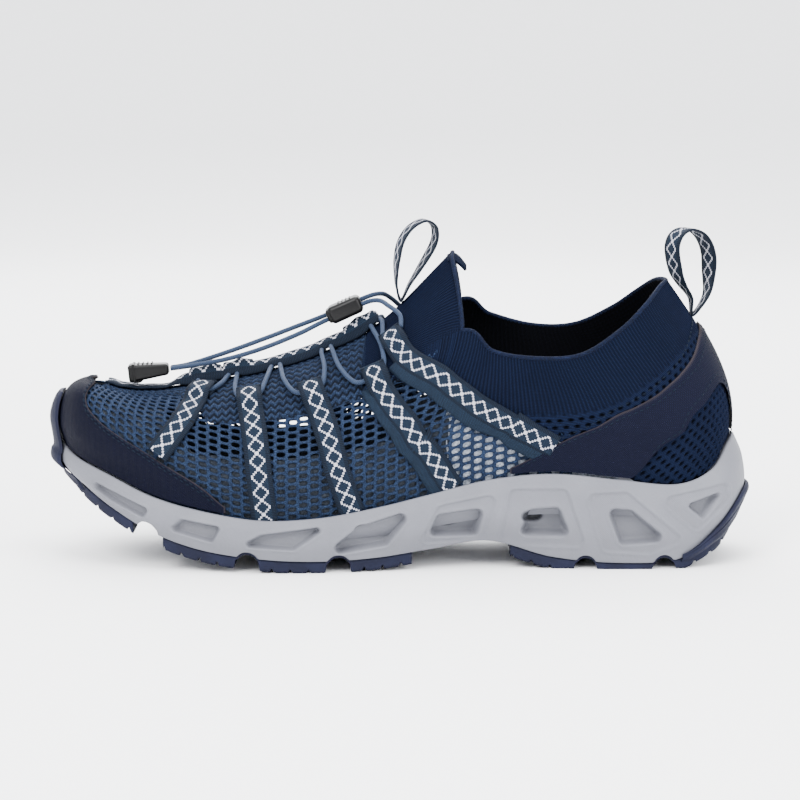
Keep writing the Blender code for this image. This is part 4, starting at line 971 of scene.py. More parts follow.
def tape_material(look, edge, white, plain=False):
    """Woven tape: twill edges and, between them, white stepped diamonds on a blue ground."""
    net = Net("woven_tape" + ("_plain" if plain else ""), 0.85, 0.12)
    along, across, _ = net.axes()
    column = (along.wrap(-DIAMOND_PITCH / 2, DIAMOND_PITCH / 2) / THREAD).floor() + 0.5
    line = (across / THREAD).floor() + 0.5
    ring = abs(column) + abs(line)
    band = net.math("COMPARE", ring, 4.0, 0.5)
    inside = abs(across).below(PATTERN_HALF)
    stitch = abs((along / THREAD).wrap(-0.5, 0.5)).top(abs((across / THREAD).wrap(-0.5, 0.5)))
    lump = 1.0 - stitch * 1.6
    figure = band * inside
    twill = (across + along * 0.9).wave(0.75)
    ribs = along.wave(0.7)
    fibre = net.noise(0.00035, detail=3, rough=0.7)
    ground = net.mix((twill * 0.5 + fibre * 0.5).ramp(0.3, 0.75), shade(look, 0.5), shade(look, 1.35))
    rim = net.mix((ribs * 0.55 + fibre * 0.45).ramp(0.3, 0.8), shade(edge, 0.45), shade(edge, 1.4))
    tone = net.mix(abs(across).ramp(PATTERN_HALF, PATTERN_HALF + 0.3), ground, rim)
    if not plain:
        pale = net.mix((fibre * 0.6 + lump * 0.5).ramp(0.25, 0.7), shade(white, 0.55), white)
        tone = net.mix(figure, tone, pale)
    height = figure * 0.7 * lump + ribs * 0.4 + twill * 0.3 + fibre * 0.3
    return net.finish(tone, height, 0.0003, 0.9, sheen=0.06, sheen_tint=shade(look, 2.0))


def braid_material(name, look, bright):
    """Braided elastic cord."""
    net = Net(name, 0.72, 0.3)
    along, around_it, _ = net.axes()
    one = (along + around_it).wave(0.85)
    two = (along - around_it).wave(0.85)
    fibre = net.noise(0.0003, detail=2)
    knot = one.top(two)
    tone = net.mix((knot * 0.75 + fibre * 0.3).ramp(0.35, 0.95), shade(look, 0.45), bright)
    return net.finish(tone, knot + fibre * 0.3, 0.00025, 0.9, sheen=0.06, sheen_tint=bright)


def plastic_material(look):
    """Black moulded plastic, slightly scuffed."""
    net = Net("black_plastic", 0.36, 0.17)
    grain = net.noise(0.0006, detail=3)
    scuff = net.noise(0.004, detail=4)
    tone = net.mix(scuff.ramp(0.5, 0.8) * 0.4, look, shade(look, 2.0))
    return net.finish(tone, grain, 0.00005, 0.5, scuff * 0.22 + 0.24)


def felt_material(name, look, bright, size=0.0007):
    """Soft cloth with short fibres, mottled."""
    net = Net(name, 0.95, 0.15)
    fuzz = net.noise(size, detail=4, rough=0.75)
    cloud = net.noise(0.005)
    tone = net.mix(fuzz.ramp(0.35, 0.7), shade(look, 0.7), bright)
    tone = net.mix(cloud.ramp(0.35, 0.7) * 0.4, tone, shade(look, 0.75))
    return net.finish(tone, fuzz, 0.0004, 0.8, sheen=0.1, sheen_tint=bright)


def thread_material(name, look):
    """Sewing thread."""
    net = Net(name, 0.7, 0.08)
    fibre = net.noise(0.0002, detail=2)
    tone = net.mix(fibre.ramp(0.3, 0.7), shade(look, 0.6), shade(look, 1.5))
    return net.finish(tone, fibre, 0.0001, 0.6)


def floor_material(look):
    """Pale studio floor with a faint grain."""
    net = Net("studio_floor", 0.9, 0.1)
    grain = net.noise(0.01)
    return net.finish(net.mix(grain.ramp(0.2, 0.8), look, shade(look, 0.99)), grain, 0.0001, 0.1)


# Midsole: steps of its grid over the underside, side, lip and bed
UNDER_STEPS, SIDE_STEPS, LIP_STEPS, BED_STEPS = 20, 54, 6, 10
# Dimples for the holes in the windows, painted near black as the shade inside them: middle and half size,
# in millimetres along and up
DRAIN_HOLES = [((-111.3, 18.2), (3.4, 1.9)), ((-76.6, 20.4), (4.4, 2.4)), ((-42.2, 21.8), (4.3, 2.8))]
# Windows that are no deeper than this are panels
PANEL_DEPTH = 1 * MM
# Radius of the corners of panels, of deep windows and of shallow ones
PANEL_CORNER = 3.2 * MM
DEEP_CORNER = 2.6 * MM
SHALLOW_CORNER = 1.5 * MM
DEEP_WINDOW = 5 * MM
HOLE_DEPTH = 2.5 * MM


def side_height(place, t):
    """Points up the sole's side, with t from 0 at the underside to 3 at the rim."""
    loops = [around(loop, place) for loop in (UNDER, BULGE, WAIST, RIM)]
    rows = np.stack([loops[0] * 2 - loops[1], *loops, loops[3] * 2 - loops[2]])
    first = np.clip(np.floor(t).astype(int), 0, 2)
    pick = np.arange(len(place))
    return catmull(*[rows[first + k, pick] for k in range(4)], (t - first)[:, None])


def window_relief(points):
    """Depth and marks of the windows and panels at points on the sole's side; two of the marks place
    painted shade inside the sunken windows and in the drain holes.
    """
    x, z = points[:, 0], points[:, 2]
    depth = np.zeros(len(points))
    panel, recess_shade, hole = np.zeros(len(points)), np.zeros(len(points)), np.zeros(len(points))
    for window in WINDOWS:
        corners = [(x_at(along), up * SIDE_HEIGHT) for along, up in window.corners]
        if window.depth <= PANEL_DEPTH:
            edge = polygon_distance(x, z, shrunk(corners, PANEL_CORNER)) - PANEL_CORNER
            panel = np.maximum(panel, ease(-edge / (0.7 * MM)))
            depth += 0.45 * MM * ease(-edge / (0.9 * MM))
            depth -= 0.42 * MM * np.clip(1 - (edge / (0.8 * MM)) ** 2, 0, 1)
        else:
            blunt = DEEP_CORNER if window.depth > DEEP_WINDOW else SHALLOW_CORNER
            edge = polygon_distance(x, z, shrunk(corners, blunt)) - blunt
            wall = 0.27 * window.depth + 0.6 * MM
            depth += window.depth * ease((-edge + 0.25 * MM) / wall)
            depth -= 0.3 * MM * np.clip(1 - ((edge - 0.5 * MM) / (0.9 * MM)) ** 2, 0, 1)
            # Mask of the painted shade inside the sunken windows.
            recess_shade = np.maximum(recess_shade, ease(-edge / wall))
            panel *= 1 - ease(-edge / (0.5 * MM))
    for (middle_x, middle_z), (half_x, half_z) in DRAIN_HOLES:
        gone = np.hypot((x - middle_x * MM) / (half_x * MM), (z - middle_z * MM) / (half_z * MM))
        inside = ease((1.12 - gone) / 0.3)
        depth += HOLE_DEPTH * inside
        hole = np.maximum(hole, inside)
    # Mask of the painted near-black shade in the drain holes.
    return depth, panel, recess_shade, hole


def build_midsole(look):
    """Foam midsole: cup, moulded side windows, flex grooves and underside."""
    rows = even_rows(520)
    total = UNDER_STEPS + 2 * SIDE_STEPS + 2 * LIP_STEPS + BED_STEPS
    marks = np.cumsum([0, UNDER_STEPS, SIDE_STEPS, LIP_STEPS, BED_STEPS, LIP_STEPS, SIDE_STEPS])

    def shape(u, v):
        row = rows[np.rint(u * (len(rows) - 1)).astype(int)]
        step = v * total
        points = np.zeros((len(u), 3))
        facts = {name: np.zeros(len(u)) for name in ("panel", "recess_shade", "hole")}
        uv = np.zeros((len(u), 2))
        groove = flex_top(around(OUTLINE, row)[:, 0])
        for index in range(6):
            low, high = marks[index], marks[index + 1]
            pick = (step >= low - 1e-6) & (step <= high + 1e-6)
            share, place = (step[pick] - low) / (high - low), row[pick]
            if index == 0:
                points[pick] = under_point(place, share * 2 - 1)
            elif index == 3:
                points[pick] = (around(BED, ROUND - place) * (1 - share)[:, None]
                                + around(BED, place) * share[:, None])
            elif index in (2, 4):
                up = share if index == 2 else 1 - share
                side = ROUND - place if index == 2 else place
                line = np.stack([around(loop, side) for loop in (RIM, RIM_TOP, LIP_IN, BED)])
                spot = up * 3
                first = np.clip(np.floor(spot).astype(int), 0, 2)
                part = (spot - first)[:, None]
                each = np.arange(len(side))
                points[pick] = line[first, each] * (1 - part) + line[first + 1, each] * part
            else:
                up = share if index == 1 else 1 - share
                side = ROUND - place if index == 1 else place
                body = side_height(side, up * 3)
                body[:, 2] = np.maximum(body[:, 2], groove[pick])
                depth, panel, recess_shade, hole = window_relief(body)
                fade = ease(up * 3 / 0.35) * ease((1 - up) * 3 / 0.2)
                if index == 1:
                    hole = hole * 0
                points[pick] = body - level_out(side) * (depth * fade)[:, None]
                facts["panel"][pick], facts["recess_shade"][pick], facts["hole"][pick] = panel, recess_shade, hole
        flat = np.isin(np.searchsorted(marks, step, side="right") - 1, (0, 3))
        uv[:, 0] = points[:, 0]
        uv[:, 1] = np.where(flat, points[:, 1], points[:, 2])
        return points, uv, facts

    piece = grid_piece("midsole_foam", len(rows) - 1, total, shape, foam_material(look))
    return finish_piece(face_outwards(weld(piece)), "foam", "midsole")


def build_insole(look):
    """Insole of cloth on foam, slightly dished."""
    inset = LIP + CUP_SLOPE + GAP + UPPER_WALL + SKIN_GAP
    low = level_loop(lambda row: rim_inset(row) + inset, lambda row: bed_height(row) + GAP)
    high = level_loop(lambda row: rim_inset(row) + inset,
                      lambda row: bed_height(row) + GAP + INSOLE_THICKNESS)
    rows = even_rows(200)

    def shape(u, v):
        row = rows[np.rint(u * (len(rows) - 1)).astype(int)]
        turn = v * 2
        upper = turn >= 1
        share = np.where(upper, 3 - 2 * turn, 2 * turn - 1)
        line = [np.where(upper[:, None], around(high, place), around(low, place))
                for place in (row, ROUND - row)]
        points = line[0] + (line[1] - line[0]) * ((share + 1) / 2)[:, None]
        crown = 0.6 * MM * np.abs(share) ** 4 * np.where(upper, 1, 0)
        points[:, 2] += crown
        points[:, 2] -= np.where(upper, 1.0, 0.0) * 1.2 * MM * ease((np.abs(share) - 0.93) / 0.07)
        return points, points[:, :2], None

    piece = grid_piece("insole_cloth", len(rows) - 1, 64, shape,
                       felt_material("insole_cloth", look, shade(look, 1.5)))
    return finish_piece(face_outwards(weld(piece)), "insole", "insole")


def rubber_depth(row, share, across, tip):
    """Thickness of the tread at places under the sole, with lugs, channels and fine chevrons."""
    wall = RUBBER + (RUBBER_HEEL - RUBBER) * ease((row - HEEL_ROUND) / 0.9)
    x = around(OUTLINE, row)[:, 0]
    wall = np.where(flex_top(x) > 0, RUBBER_THIN, wall)
    lugs = np.interp(share, [mark for mark, _lug in across], [lug for _mark, lug in across])
    lugs = np.maximum(ease(lugs), tip)
    full = RUBBER_THIN + (wall - RUBBER_THIN) * lugs
    zig = x / (7.6 * MM) + np.abs((share * 3.2) % 2 - 1) * 0.5
    nick = np.clip(1 - np.abs((zig % 1) - 0.5) / 0.13, 0, 1)
    return full - np.minimum(1.5 * MM * ease(nick * 1.6), np.maximum(full - RUBBER_THIN, 0))


def build_tread(name, start, end, across, material):
    """Tread of rubber under the midsole between two places."""
    line = np.linspace(0, LAST, 4000)
    places = around(OUTLINE, line)[:, 0]
    first, last = (float(np.interp(x_at(mark), places, line)) for mark in (start, end))
    rows = even_rows(max(int((x_at(min(end, 0.98)) - x_at(start)) / (0.62 * MM)), 40), first, last)
    wide, edge = 72, 4
    total = 2 * (wide + edge)
    shrink = 1 - RUBBER_INSET / OUTER_HALF

    def shape(u, v):
        row = rows[np.rint(u * (len(rows) - 1)).astype(int)]
        step = v * total
        lower = step <= wide
        share = np.where(lower, step / wide * 2 - 1,
                         np.where(step <= wide + edge, 1.0,
                                  np.where(step <= 2 * wide + edge,
                                           1 - (step - wide - edge) / wide * 2, -1.0)))
        drop = np.where(lower, 1.0,
                        np.where(step <= wide + edge, 1 - (step - wide) / edge,
                                 np.where(step <= 2 * wide + edge, 0.0,
                                          (step - 2 * wide - edge) / edge)))
        points = under_point(row, share * shrink)
        tip = ease(1 - row / 0.4) + ease(1 - (LAST - row) / 0.4)
        depth = rubber_depth(row, share, across, tip)
        points[:, 2] -= GAP + depth * drop
        points[:, 2] = np.maximum(points[:, 2], 0.0)
        return points, points[:, :2], None

    piece = grid_piece(name, len(rows) - 1, total, shape, material)
    return sealed(piece, 2 * total, split=True)


def wrapped(name, levels, half, columns, rows, material):
    """Closed sheet of rubber over levels that are each a function of the place."""
    share_line = np.linspace(-1, 1, columns + 1)
    table, ways, thick = [], [], []
    for point_at, wall in levels:
        point, out = point_at(share_line)
        table.append(point)
        ways.append(out)
        thick.append(np.full(columns + 1, wall))
    table, ways, thick = np.stack(table), np.stack(ways), np.stack(thick)

    def shape(u, v):
        column_index = np.rint(u * columns).astype(int)
        outside = v <= 0.5
        up = np.where(outside, v * 2, 2 - 2 * v) * (len(levels) - 1)
        first = np.clip(np.floor(up).astype(int), 0, len(levels) - 2)
        part = (up - first)[:, None]

        def pick(rows_of, smooth):
            limit = len(levels) - 1
            around_it = [rows_of[np.clip(first + k, 0, limit), column_index] for k in (-1, 0, 1, 2)]
            if smooth:
                return catmull(*around_it, part)
            return around_it[1] * (1 - part) + around_it[2] * part

        base = pick(table, True)
        way = unit(pick(ways, False))
        wall = pick(thick[:, :, None], False)[:, 0]
        share = share_line[column_index]
        edge = 1 - WRAP_FADE * np.abs(share) ** 3
        edge *= 0.3 + 0.7 * ease((1 - np.abs(share)) / 0.06)
        edge *= 0.35 + 0.65 * ease((len(levels) - 1 - up) / 0.35)
        lift = np.where(outside, wall * edge * RUBBER_WRAP, 0.0)
        points = base + way * lift[:, None]
        across = share * half
        return points, np.stack([across * 0.02, up * 0.008], axis=1), None

    piece = grid_piece(name, columns, rows * 2, shape, material)
    return sealed(piece, 4 * rows + 4, split=True)


def build_toe_bumper(material):
    """Rubber that runs up the front of the toe."""
    def sole_level(loop, half, sink, drop):
        def at(share):
            place = share * half
            out = level_out(place)
            point = around(loop, place) + out * (BUMPER_GAP - sink)
            point[:, 2] -= drop
            return point, out
        return at

    def cap_level(level, half):
        def at(share):
            place = share * half
            height = SKIN_GAP * 2 + OVERLAY_WALL
            levels = np.full(len(place), level)
            return raised(place, levels, height), upper_normal(place, levels)
        return at

    levels = [
        (sole_level(UNDER, 1.9, 1.2 * MM, 2.4 * MM), 1.2),
        (sole_level(UNDER, 1.7, 0.0, -0.6 * MM), 1.0),
        (sole_level(BULGE, 1.15, 0.0, 0.0), 1.0),
        (sole_level(WAIST, 0.95, 0.0, 0.0), 1.0),
        (sole_level(RIM, 0.85, 0.0, 0.0), 1.0),
        (cap_level(2.0, 0.78), 1.0),
        (cap_level(2.35, 0.72), 0.9),
        (cap_level(2.62, 0.64), 0.75),
        (cap_level(2.8, 0.5), 0.45),
    ]
    return wrapped("toe_bumper", levels, 1.9, 96, 64, material)


def build_heel_wrap(material):
    """Rubber that runs up the back of the heel, with a crease across it."""
    half = LAST - WRAP_START

    def level(share_up, sink, drop):
        def at(share):
            place = LAST + share * half
            rise = WRAP_RISE * (WRAP_END + (1 - WRAP_END) * ease((1 - np.abs(share)) * 1.25)) * share_up
            low, mid, high = (around(loop, place) for loop in (UNDER, BULGE, WAIST))
            part = np.clip(rise, 0, 1)[:, None]
            over = np.clip(rise - 1, 0, 1)[:, None]
            point = low * (1 - part) + mid * part
            point = point * (1 - over) + high * over
            out = level_out(place)
            point = point + out * (SKIN_GAP - sink)
            point[:, 2] -= drop
            return point, out
        return at

    levels = [(level(0.0, 1.7 * MM, 2.2 * MM), 1.1), (level(0.0, 0.0, 0.3 * MM), 1.05),
              (level(0.33, 0.0, 0.0), 1.0), (level(0.52, 0.0, 0.0), 0.96),
              (level(0.58, 0.0, 0.0), 0.72), (level(0.64, 0.0, 0.0), 0.9),
              (level(0.85, 0.0, 0.0), 0.8), (level(1.0, 0.0, 0.0), 0.5)]
    return wrapped("heel_wrap", levels, half, 120, 56, material)


# Open mesh: size of its cells, width of its strands, its rows and its top edge
HOLE_ALONG = 4.6 * MM
HOLE_UP = 3.15 * MM
YARN_WIDTH = 0.72 * MM
YARN_WALL = 1.0 * MM
MESH_SINK = 0.55 * MM
MESH_LEVEL = 1.6
# Cells smaller or longer than this are left out
SLIVER_AREA = 3e-6
SLIVER_LENGTH = 9 * MM
MESH_ROWS = (1.5, 11.3)
MESH_TOP = [EdgeRow(*mark) for mark in (
    (0.0, 3.72), (4.3, 3.66), (4.75, 3.4), (5.15, 2.95), (6.0, 2.84), (7.2, 2.80), (8.0, 2.84),
    (8.6, 2.80), (9.6, 2.50), (10.6, 2.08), (11.4, 1.70), (16.0, 1.2),
)]
# Knit: how deep the ribs reach below the rim, and the pitch of the ribs and of the dimples
RIB_DEPTH = 23 * MM
RIB_PITCH = 1.35 * MM
DIMPLE_PITCH = 3.4 * MM
# Throat knit: pitch of its zigzag, of the rows up the shoe and of the knots along them
ZIGZAG_PITCH = 3.4 * MM
ZIGZAG_RISE = 1.15 * MM
KNIT_ROW = 1.9 * MM
KNOT_PITCH = 1.15 * MM


def arc_table(row, side, low, high, steps=90):
    """Levels from low to high at one row, and how far each lies up the surface."""
    place = sided(row, side)
    levels = np.linspace(low, high, steps)
    points = upper_point(np.full(steps, place), levels)
    gone = run_along(points)
    return levels, gone


def even_upper_rows(count, start, end, level, side=-1):
    """Rows that lie evenly far apart along a level of the upper, and how far along each is."""
    fine = np.linspace(start, end, 800)
    place = sided(fine, side)
    points = upper_point(place, np.full(800, float(level)))
    gone = run_along(points)
    return np.interp(np.linspace(0, gone[-1], count), gone, fine), gone[-1]


def build_mesh_side(name, side, material):
    """Open mesh of one side: cells in staggered columns, each with a rounded hole."""
    _rows, length = even_upper_rows(3, *MESH_ROWS, MESH_LEVEL, side)
    columns = int(round(length / HOLE_ALONG))
    rows, _length = even_upper_rows(columns + 1, *MESH_ROWS, MESH_LEVEL, side)
    tall = 0.0
    tables = []
    for row in rows:
        levels, gone = arc_table(row, side, 0.95, 4.0)
        tables.append((levels, gone))
        top = float(np.interp(edge_level(MESH_TOP, row), levels, gone))
        tall = max(tall, top)
    halves = 2 * int(tall / HOLE_UP + 2)

    bm = bmesh.new()
    spot = bm.verts.layers.int.new("spot")
    bmesh.ops.create_grid(bm, x_segments=columns, y_segments=halves, size=0.5)
    gone_cells = []
    for vert in bm.verts:
        column_index = int(round((vert.co.x + 0.5) * columns))
        half = int(round((vert.co.y + 0.5) * halves))
        vert[spot] = column_index * (halves + 1) + half
    spare = []
    for edge in bm.edges:
        (i, j), (k, m) = (divmod(vert[spot], halves + 1) for vert in edge.verts)
        if j == m and (j + min(i, k)) % 2 == 1 and 0 < j < halves:
            spare.append(edge)
    bmesh.ops.dissolve_edges(bm, edges=spare, use_verts=False, use_face_split=False)
    for face in bm.faces:
        cells = [divmod(vert[spot], halves + 1) for vert in face.verts]
        middle_row = float(np.mean([rows[i] for i, _j in cells]))
        up = float(np.mean([j for _i, j in cells])) * HOLE_UP / 2
        levels, gone = tables[min(i for i, _j in cells)]
        if up > np.interp(edge_level(MESH_TOP, middle_row), levels, gone) or up > gone[-1] - 1 * MM:
            gone_cells.append(face)
    bmesh.ops.delete(bm, geom=gone_cells, context="FACES")
    place_of, level_of = [], []
    for vert in bm.verts:
        i, j = divmod(vert[spot], halves + 1)
        levels, gone = tables[i]
        place_of.append(sided(rows[i], side))
        level_of.append(float(np.interp(j * HOLE_UP / 2, gone, levels)))
    points = raised(np.array(place_of), np.array(level_of), np.full(len(place_of), -MESH_SINK))
    for vert, point in zip(bm.verts, points):
        vert.co = point
    slivers = [face for face in bm.faces if face.calc_area() < SLIVER_AREA
               or max(edge.calc_length() for edge in face.edges) > SLIVER_LENGTH]
    bmesh.ops.delete(bm, geom=slivers, context="FACES")
    ring = bmesh.ops.inset_individual(bm, faces=bm.faces[:], thickness=YARN_WIDTH, depth=0,
                                      use_even_offset=False)
    framed = set(ring["faces"])
    bmesh.ops.delete(bm, geom=[face for face in bm.faces if face not in framed], context="FACES")
    bmesh.ops.recalc_face_normals(bm, faces=bm.faces)
    middle = bm.faces[0]
    if middle.normal.y * side < 0:
        bmesh.ops.reverse_faces(bm, faces=bm.faces)
    return subdivide(thicken(piece_from(bm, name, material), YARN_WALL), 1)


def build_liner(name, side, start, end, low, high, material):
    """Soft lining behind the mesh."""
    rows, _length = even_upper_rows(141, start, end, MESH_LEVEL, side)

    def shape(u, v):
        row = rows[np.rint(u * 140).astype(int)]
        place = sided(row, side)
        level = low + (high(row) - low) * v
        rumple = 0.25 * MM * np.sin(u * 60) * np.sin(v * 19)
        points = upper_point(place, level) - upper_normal(place, level) * (1.7 * MM + rumple)[:, None]
        return points, np.stack([u * 0.1, v * 0.03], axis=1), None

    piece = grid_piece(name, 140, 24, shape, material)
    return thicken(facing(piece, side), 0.5 * MM)


def build_throat(name, side, material):
    """Coarse knit between the ribbon and the open mesh."""
    start, end = 2.0, 8.7
    columns, lines = 400, 110
    rows, length = even_upper_rows(columns + 1, start, end, 3.2, side)

    def shape(u, v):
        index = np.rint(u * columns).astype(int)
        row = rows[index]
        place = sided(row, side)
        low = np.interp(row, [mark.row for mark in MESH_TOP], [mark.level for mark in MESH_TOP]) - 0.05
        high = np.interp(row, [7.72, 7.82, 8.3, 8.7], [4.0, 3.06, 2.94, 2.88])
        level = low + (high - low) * v
        x = u * length
        stacked = level * 17 * MM
        zig = np.abs(((x + stacked * 0.15) / ZIGZAG_PITCH) % 1 - 0.5) * 2
        wave = (stacked - zig * ZIGZAG_RISE) / KNIT_ROW
        ridge = np.sin(2 * pi * wave) * 0.5 + 0.5
        knots = np.sin(2 * pi * x / KNOT_PITCH + 2.6 * np.floor(wave)) * 0.5 + 0.5
        height = 0.62 * ridge + 0.25 * knots * ridge
        fade = ease(v / 0.03)
        points = raised(place, level, (-0.75 + 0.95 * height) * MM * fade - 0.9 * MM * (1 - fade))
        # The pit mark places painted shade in the low parts of the zigzag knit.
        return points, np.stack([x, stacked], axis=1), {"pit": np.clip(1 - height * 1.7, 0, 1)}

    piece = grid_piece(name, columns, lines, shape, material)
    return facing(piece, side)


def rib_relief(along_run, depth_run, blend):
    """Height, ribs and pits of the knit: fine ribs near the rim that give way to coarse dimples; the ribs
    and pits also place painted shade between the ribs and in the dimples.
    """
    rib = np.cos(2 * pi * along_run / RIB_PITCH) * 0.5 + 0.5
    row_index = np.floor(depth_run / (DIMPLE_PITCH * 0.82))
    shifted = along_run / DIMPLE_PITCH + 0.5 * (row_index % 2)
    across = (shifted % 1) - 0.5
    down = (depth_run / (DIMPLE_PITCH * 0.82)) % 1 - 0.5
    pit = np.clip(1 - np.hypot(across * 1.15, down * 1.25) / 0.42, 0, 1)
    twist = np.cos(2 * pi * (along_run + depth_run * 0.6) / (0.9 * MM)) * 0.5 + 0.5
    coarse = 1 - ease(pit * 1.7) + 0.18 * twist
    height = 0.34 * rib * (1 - blend) + (1.15 * coarse - 0.6) * blend
    return height * MM, rib * (1 - blend) + blend, np.clip(ease(pit * 1.5) * blend, 0, 1)


def build_collar_side(name, side, material):
    """Knit of the collar's side: ribs under the rim, coarse knit below them."""
    columns, lines = 620, 120
    start, end = 8.55, 16.0
    rows, length = even_upper_rows(columns + 1, start, end, 2.8, side)
    tables = [arc_table(row, side, 1.0, 3.0, 60) for row in rows]

    def shape(u, v):
        index = np.rint(u * columns).astype(int)
        row = rows[index]
        place = sided(row, side)
        base = np.array([tables[i][1][-1] for i in range(columns + 1)])[index]
        low_level = np.interp(row, [8.5, 9.6, 10.8, 11.6, 12.3, 16], [2.75, 2.35, 1.85, 1.3, 1.02, 1.02])
        gone_low = np.array([float(np.interp(low_level[k], *tables[i])) for k, i in
                             zip(np.unique(index, return_index=True)[1], np.unique(index))])[index]
        up = gone_low + (base - gone_low) * v
        level = np.empty(len(u))
        order = np.argsort(index, kind="stable")
        bounds = np.searchsorted(index[order], np.arange(columns + 2))
        for i in range(columns + 1):
            pick = order[bounds[i]:bounds[i + 1]]
            level[pick] = np.interp(up[pick], tables[i][1], tables[i][0])
        depth = base - up
        blend = ease((depth - RIB_DEPTH) / (2.4 * MM))
        along_run = u * length
        height, rib, pit = rib_relief(along_run, depth, blend)
        fade = ease(depth / (1.2 * MM))
        points = raised(place, level, (height - 0.35 * MM) * fade)
        # The rib and pit marks place painted shade between the ribs and in the dimples.
        return points, np.stack([along_run, depth], axis=1), {"rib": rib, "pit": pit}

    piece = grid_piece(name, columns, lines, shape, material)
    return facing(piece, side)


def build_tongue(name, side, material):
    """Knit of the tongue: ribs that run square to its rear edge."""
    columns, lines = 150, 300
    start, end = 7.75, 9.0
    rows, length = even_upper_rows(columns + 1, start, end, 3.5, side)
    tall = arc_table(8.8, side, 2.6, 4.0)[1][-1]

    def shape(u, v):
        index = np.rint(u * columns).astype(int)
        row = rows[index]
        place = sided(row, side)
        low = np.interp(row, [7.7, 8.3, 9.0], [2.95, 2.8, 2.62])
        level = low + (4.0 - low) * v
        run = v * tall
        mitre = ease((3.12 - level) / 0.18) * ease((row - 8.5) / 0.3)
        rib_up = np.cos(2 * pi * run / RIB_PITCH) * 0.5 + 0.5
        rib_on = np.cos(2 * pi * u * length / RIB_PITCH) * 0.5 + 0.5
        rib = rib_up * (1 - mitre) + rib_on * mitre
        points = raised(place, level, (0.34 * rib - 0.35) * MM)
        # The rib mark places painted shade between the ribs.
        return points, np.stack([run, u * length], axis=1), {"rib": rib, "pit": np.zeros(len(u))}

    piece = grid_piece(name, columns, lines, shape, material)
    return facing(piece, side)


def build_lining(name, side, material):
    """Dark navy lining inside the collar and the tongue, darkened further as painted shade inside the
    opening.
    """
    columns, lines = 300, 60
    start, end = 6.6, 16.0
    rows, length = even_upper_rows(columns + 1, start, end, 2.8, side)

    def shape(u, v):
        row = rows[np.rint(u * columns).astype(int)]
        place = sided(row, side)
        top = np.where(row <= PEAK, 4.0, 3.0)
        low = np.interp(row, [6.6, 8.6, 9.2, 10.6, 11.6, 12.4, 16],
                        [2.9, 2.7, 2.45, 1.95, 1.4, 0.9, 0.9])
        level = low + (top - low) * v
        rib = np.cos(2 * pi * u * length / (1.9 * MM)) * 0.5 + 0.5
        depth = (1.25 + 0.4 * rib) * MM
        points = upper_point(place, level) - upper_normal(place, level) * depth[:, None]
        return points, np.stack([u * length, v * 0.04], axis=1), {"rib": rib,
                                                                   "pit": np.zeros(len(u))}

    piece = grid_piece(name, columns, lines, shape, material)
    return facing(piece, -side)


def collar_line():
    """Places and levels round the opening, from the tongue's peak down one side and back."""
    tongue = [(PEAK, level) for level in np.linspace(4, 3, 40)]
    rim = [(row, 3.0) for row in np.linspace(PEAK, LAST, 160)[1:]]
    half = tongue + rim
    return half + [(ROUND - row, level) for row, level in half[-2:0:-1]]


def build_collar_edge(name, material):
    """Turned edge of the knit round the collar and up the tongue."""
    line = np.array(collar_line())
    points = upper_point(line[:, 0], line[:, 1])
    inwards = upper_normal(line[:, 0], line[:, 1])
    points = points - inwards * 0.62 * MM
    return tube(name, points, 0.95 * MM, material, 12, closed=True)


def build_flap(name, material):
    """Small folded corner of cloth behind the tongue's peak."""
    peak = upper_point([PEAK - 0.02], [4.0])[0]

    def shape(u, v):
        wide = (u - 0.5) * 15 * MM * (1 - 0.35 * v)
        out = v * 7.5 * MM
        sag = 3.2 * MM * v * v + 2.0 * MM * (2 * u - 1) ** 2
        curl = 1.3 * MM * np.sin(v * pi * 1.2) * (1 - 0.5 * np.abs(2 * u - 1))
        points = np.stack([peak[0] - 1.2 * MM + out, peak[1] + wide,
                           peak[2] - 1.4 * MM - sag + curl], axis=1)
        run = np.stack([wide, out], axis=1)
        rib = np.cos(2 * pi * wide / RIB_PITCH) * 0.5 + 0.5
        return points, run, {"rib": rib, "pit": np.zeros(len(u))}

    piece = grid_piece(name, 40, 24, shape, material)
    return thicken(piece, 1.1 * MM, 0.0)


# Height of the overlays over the upper, rows where the lace passes under the ribbon, stitches
CAP_LIFT = 0.35 * MM
LACE_CROSSINGS = (4.79, 5.42, 6.16, 7.06, 7.90)
STITCH_LENGTH = 1.9 * MM
STITCH_GAP = 0.8 * MM
THREAD_RADIUS = 0.3 * MM
# Plain tape beside the two rear straps: width, place across and height
BACKING_WIDTH = 6.5 * MM
BACKING_ASIDE = 5.6 * MM
BACKING_PROUD = -0.3 * MM
BACKING_BEGIN = 0.12


def bite_level(place):
    """Lowest level at which an overlay clears the sole's rim."""
    bite, side = around(UPPER_BITE, place), around(UPPER_SIDE, place)
    return 1 + BITE_CLEAR / (side[:, 2] - bite[:, 2])


def free_level(place):
    """Lowest level at which a strap clears the rim, the toe cap and the heel counter."""
    row = row_of(place)
    edges = [bite_level(place)]
    for table in (TOE_CAP_EDGE, COUNTER_TOP):
        edges.append(edge_level(table, row) + STRAP_SETBACK)
    return np.max(edges, axis=0)


def smooth_edge(table, row):
    """Edge level beside rows, rounded over its table's corners."""
    total = np.zeros(len(row))
    weights = [(-0.16, 0.2), (-0.08, 0.25), (0.0, 0.3), (0.08, 0.25), (0.16, 0.2)]
    low, high = table[0].row, table[-1].row
    for shift, weight in weights:
        total += weight * edge_level(table, np.clip(row + shift, low, high))
    return total / sum(weight for _shift, weight in weights)


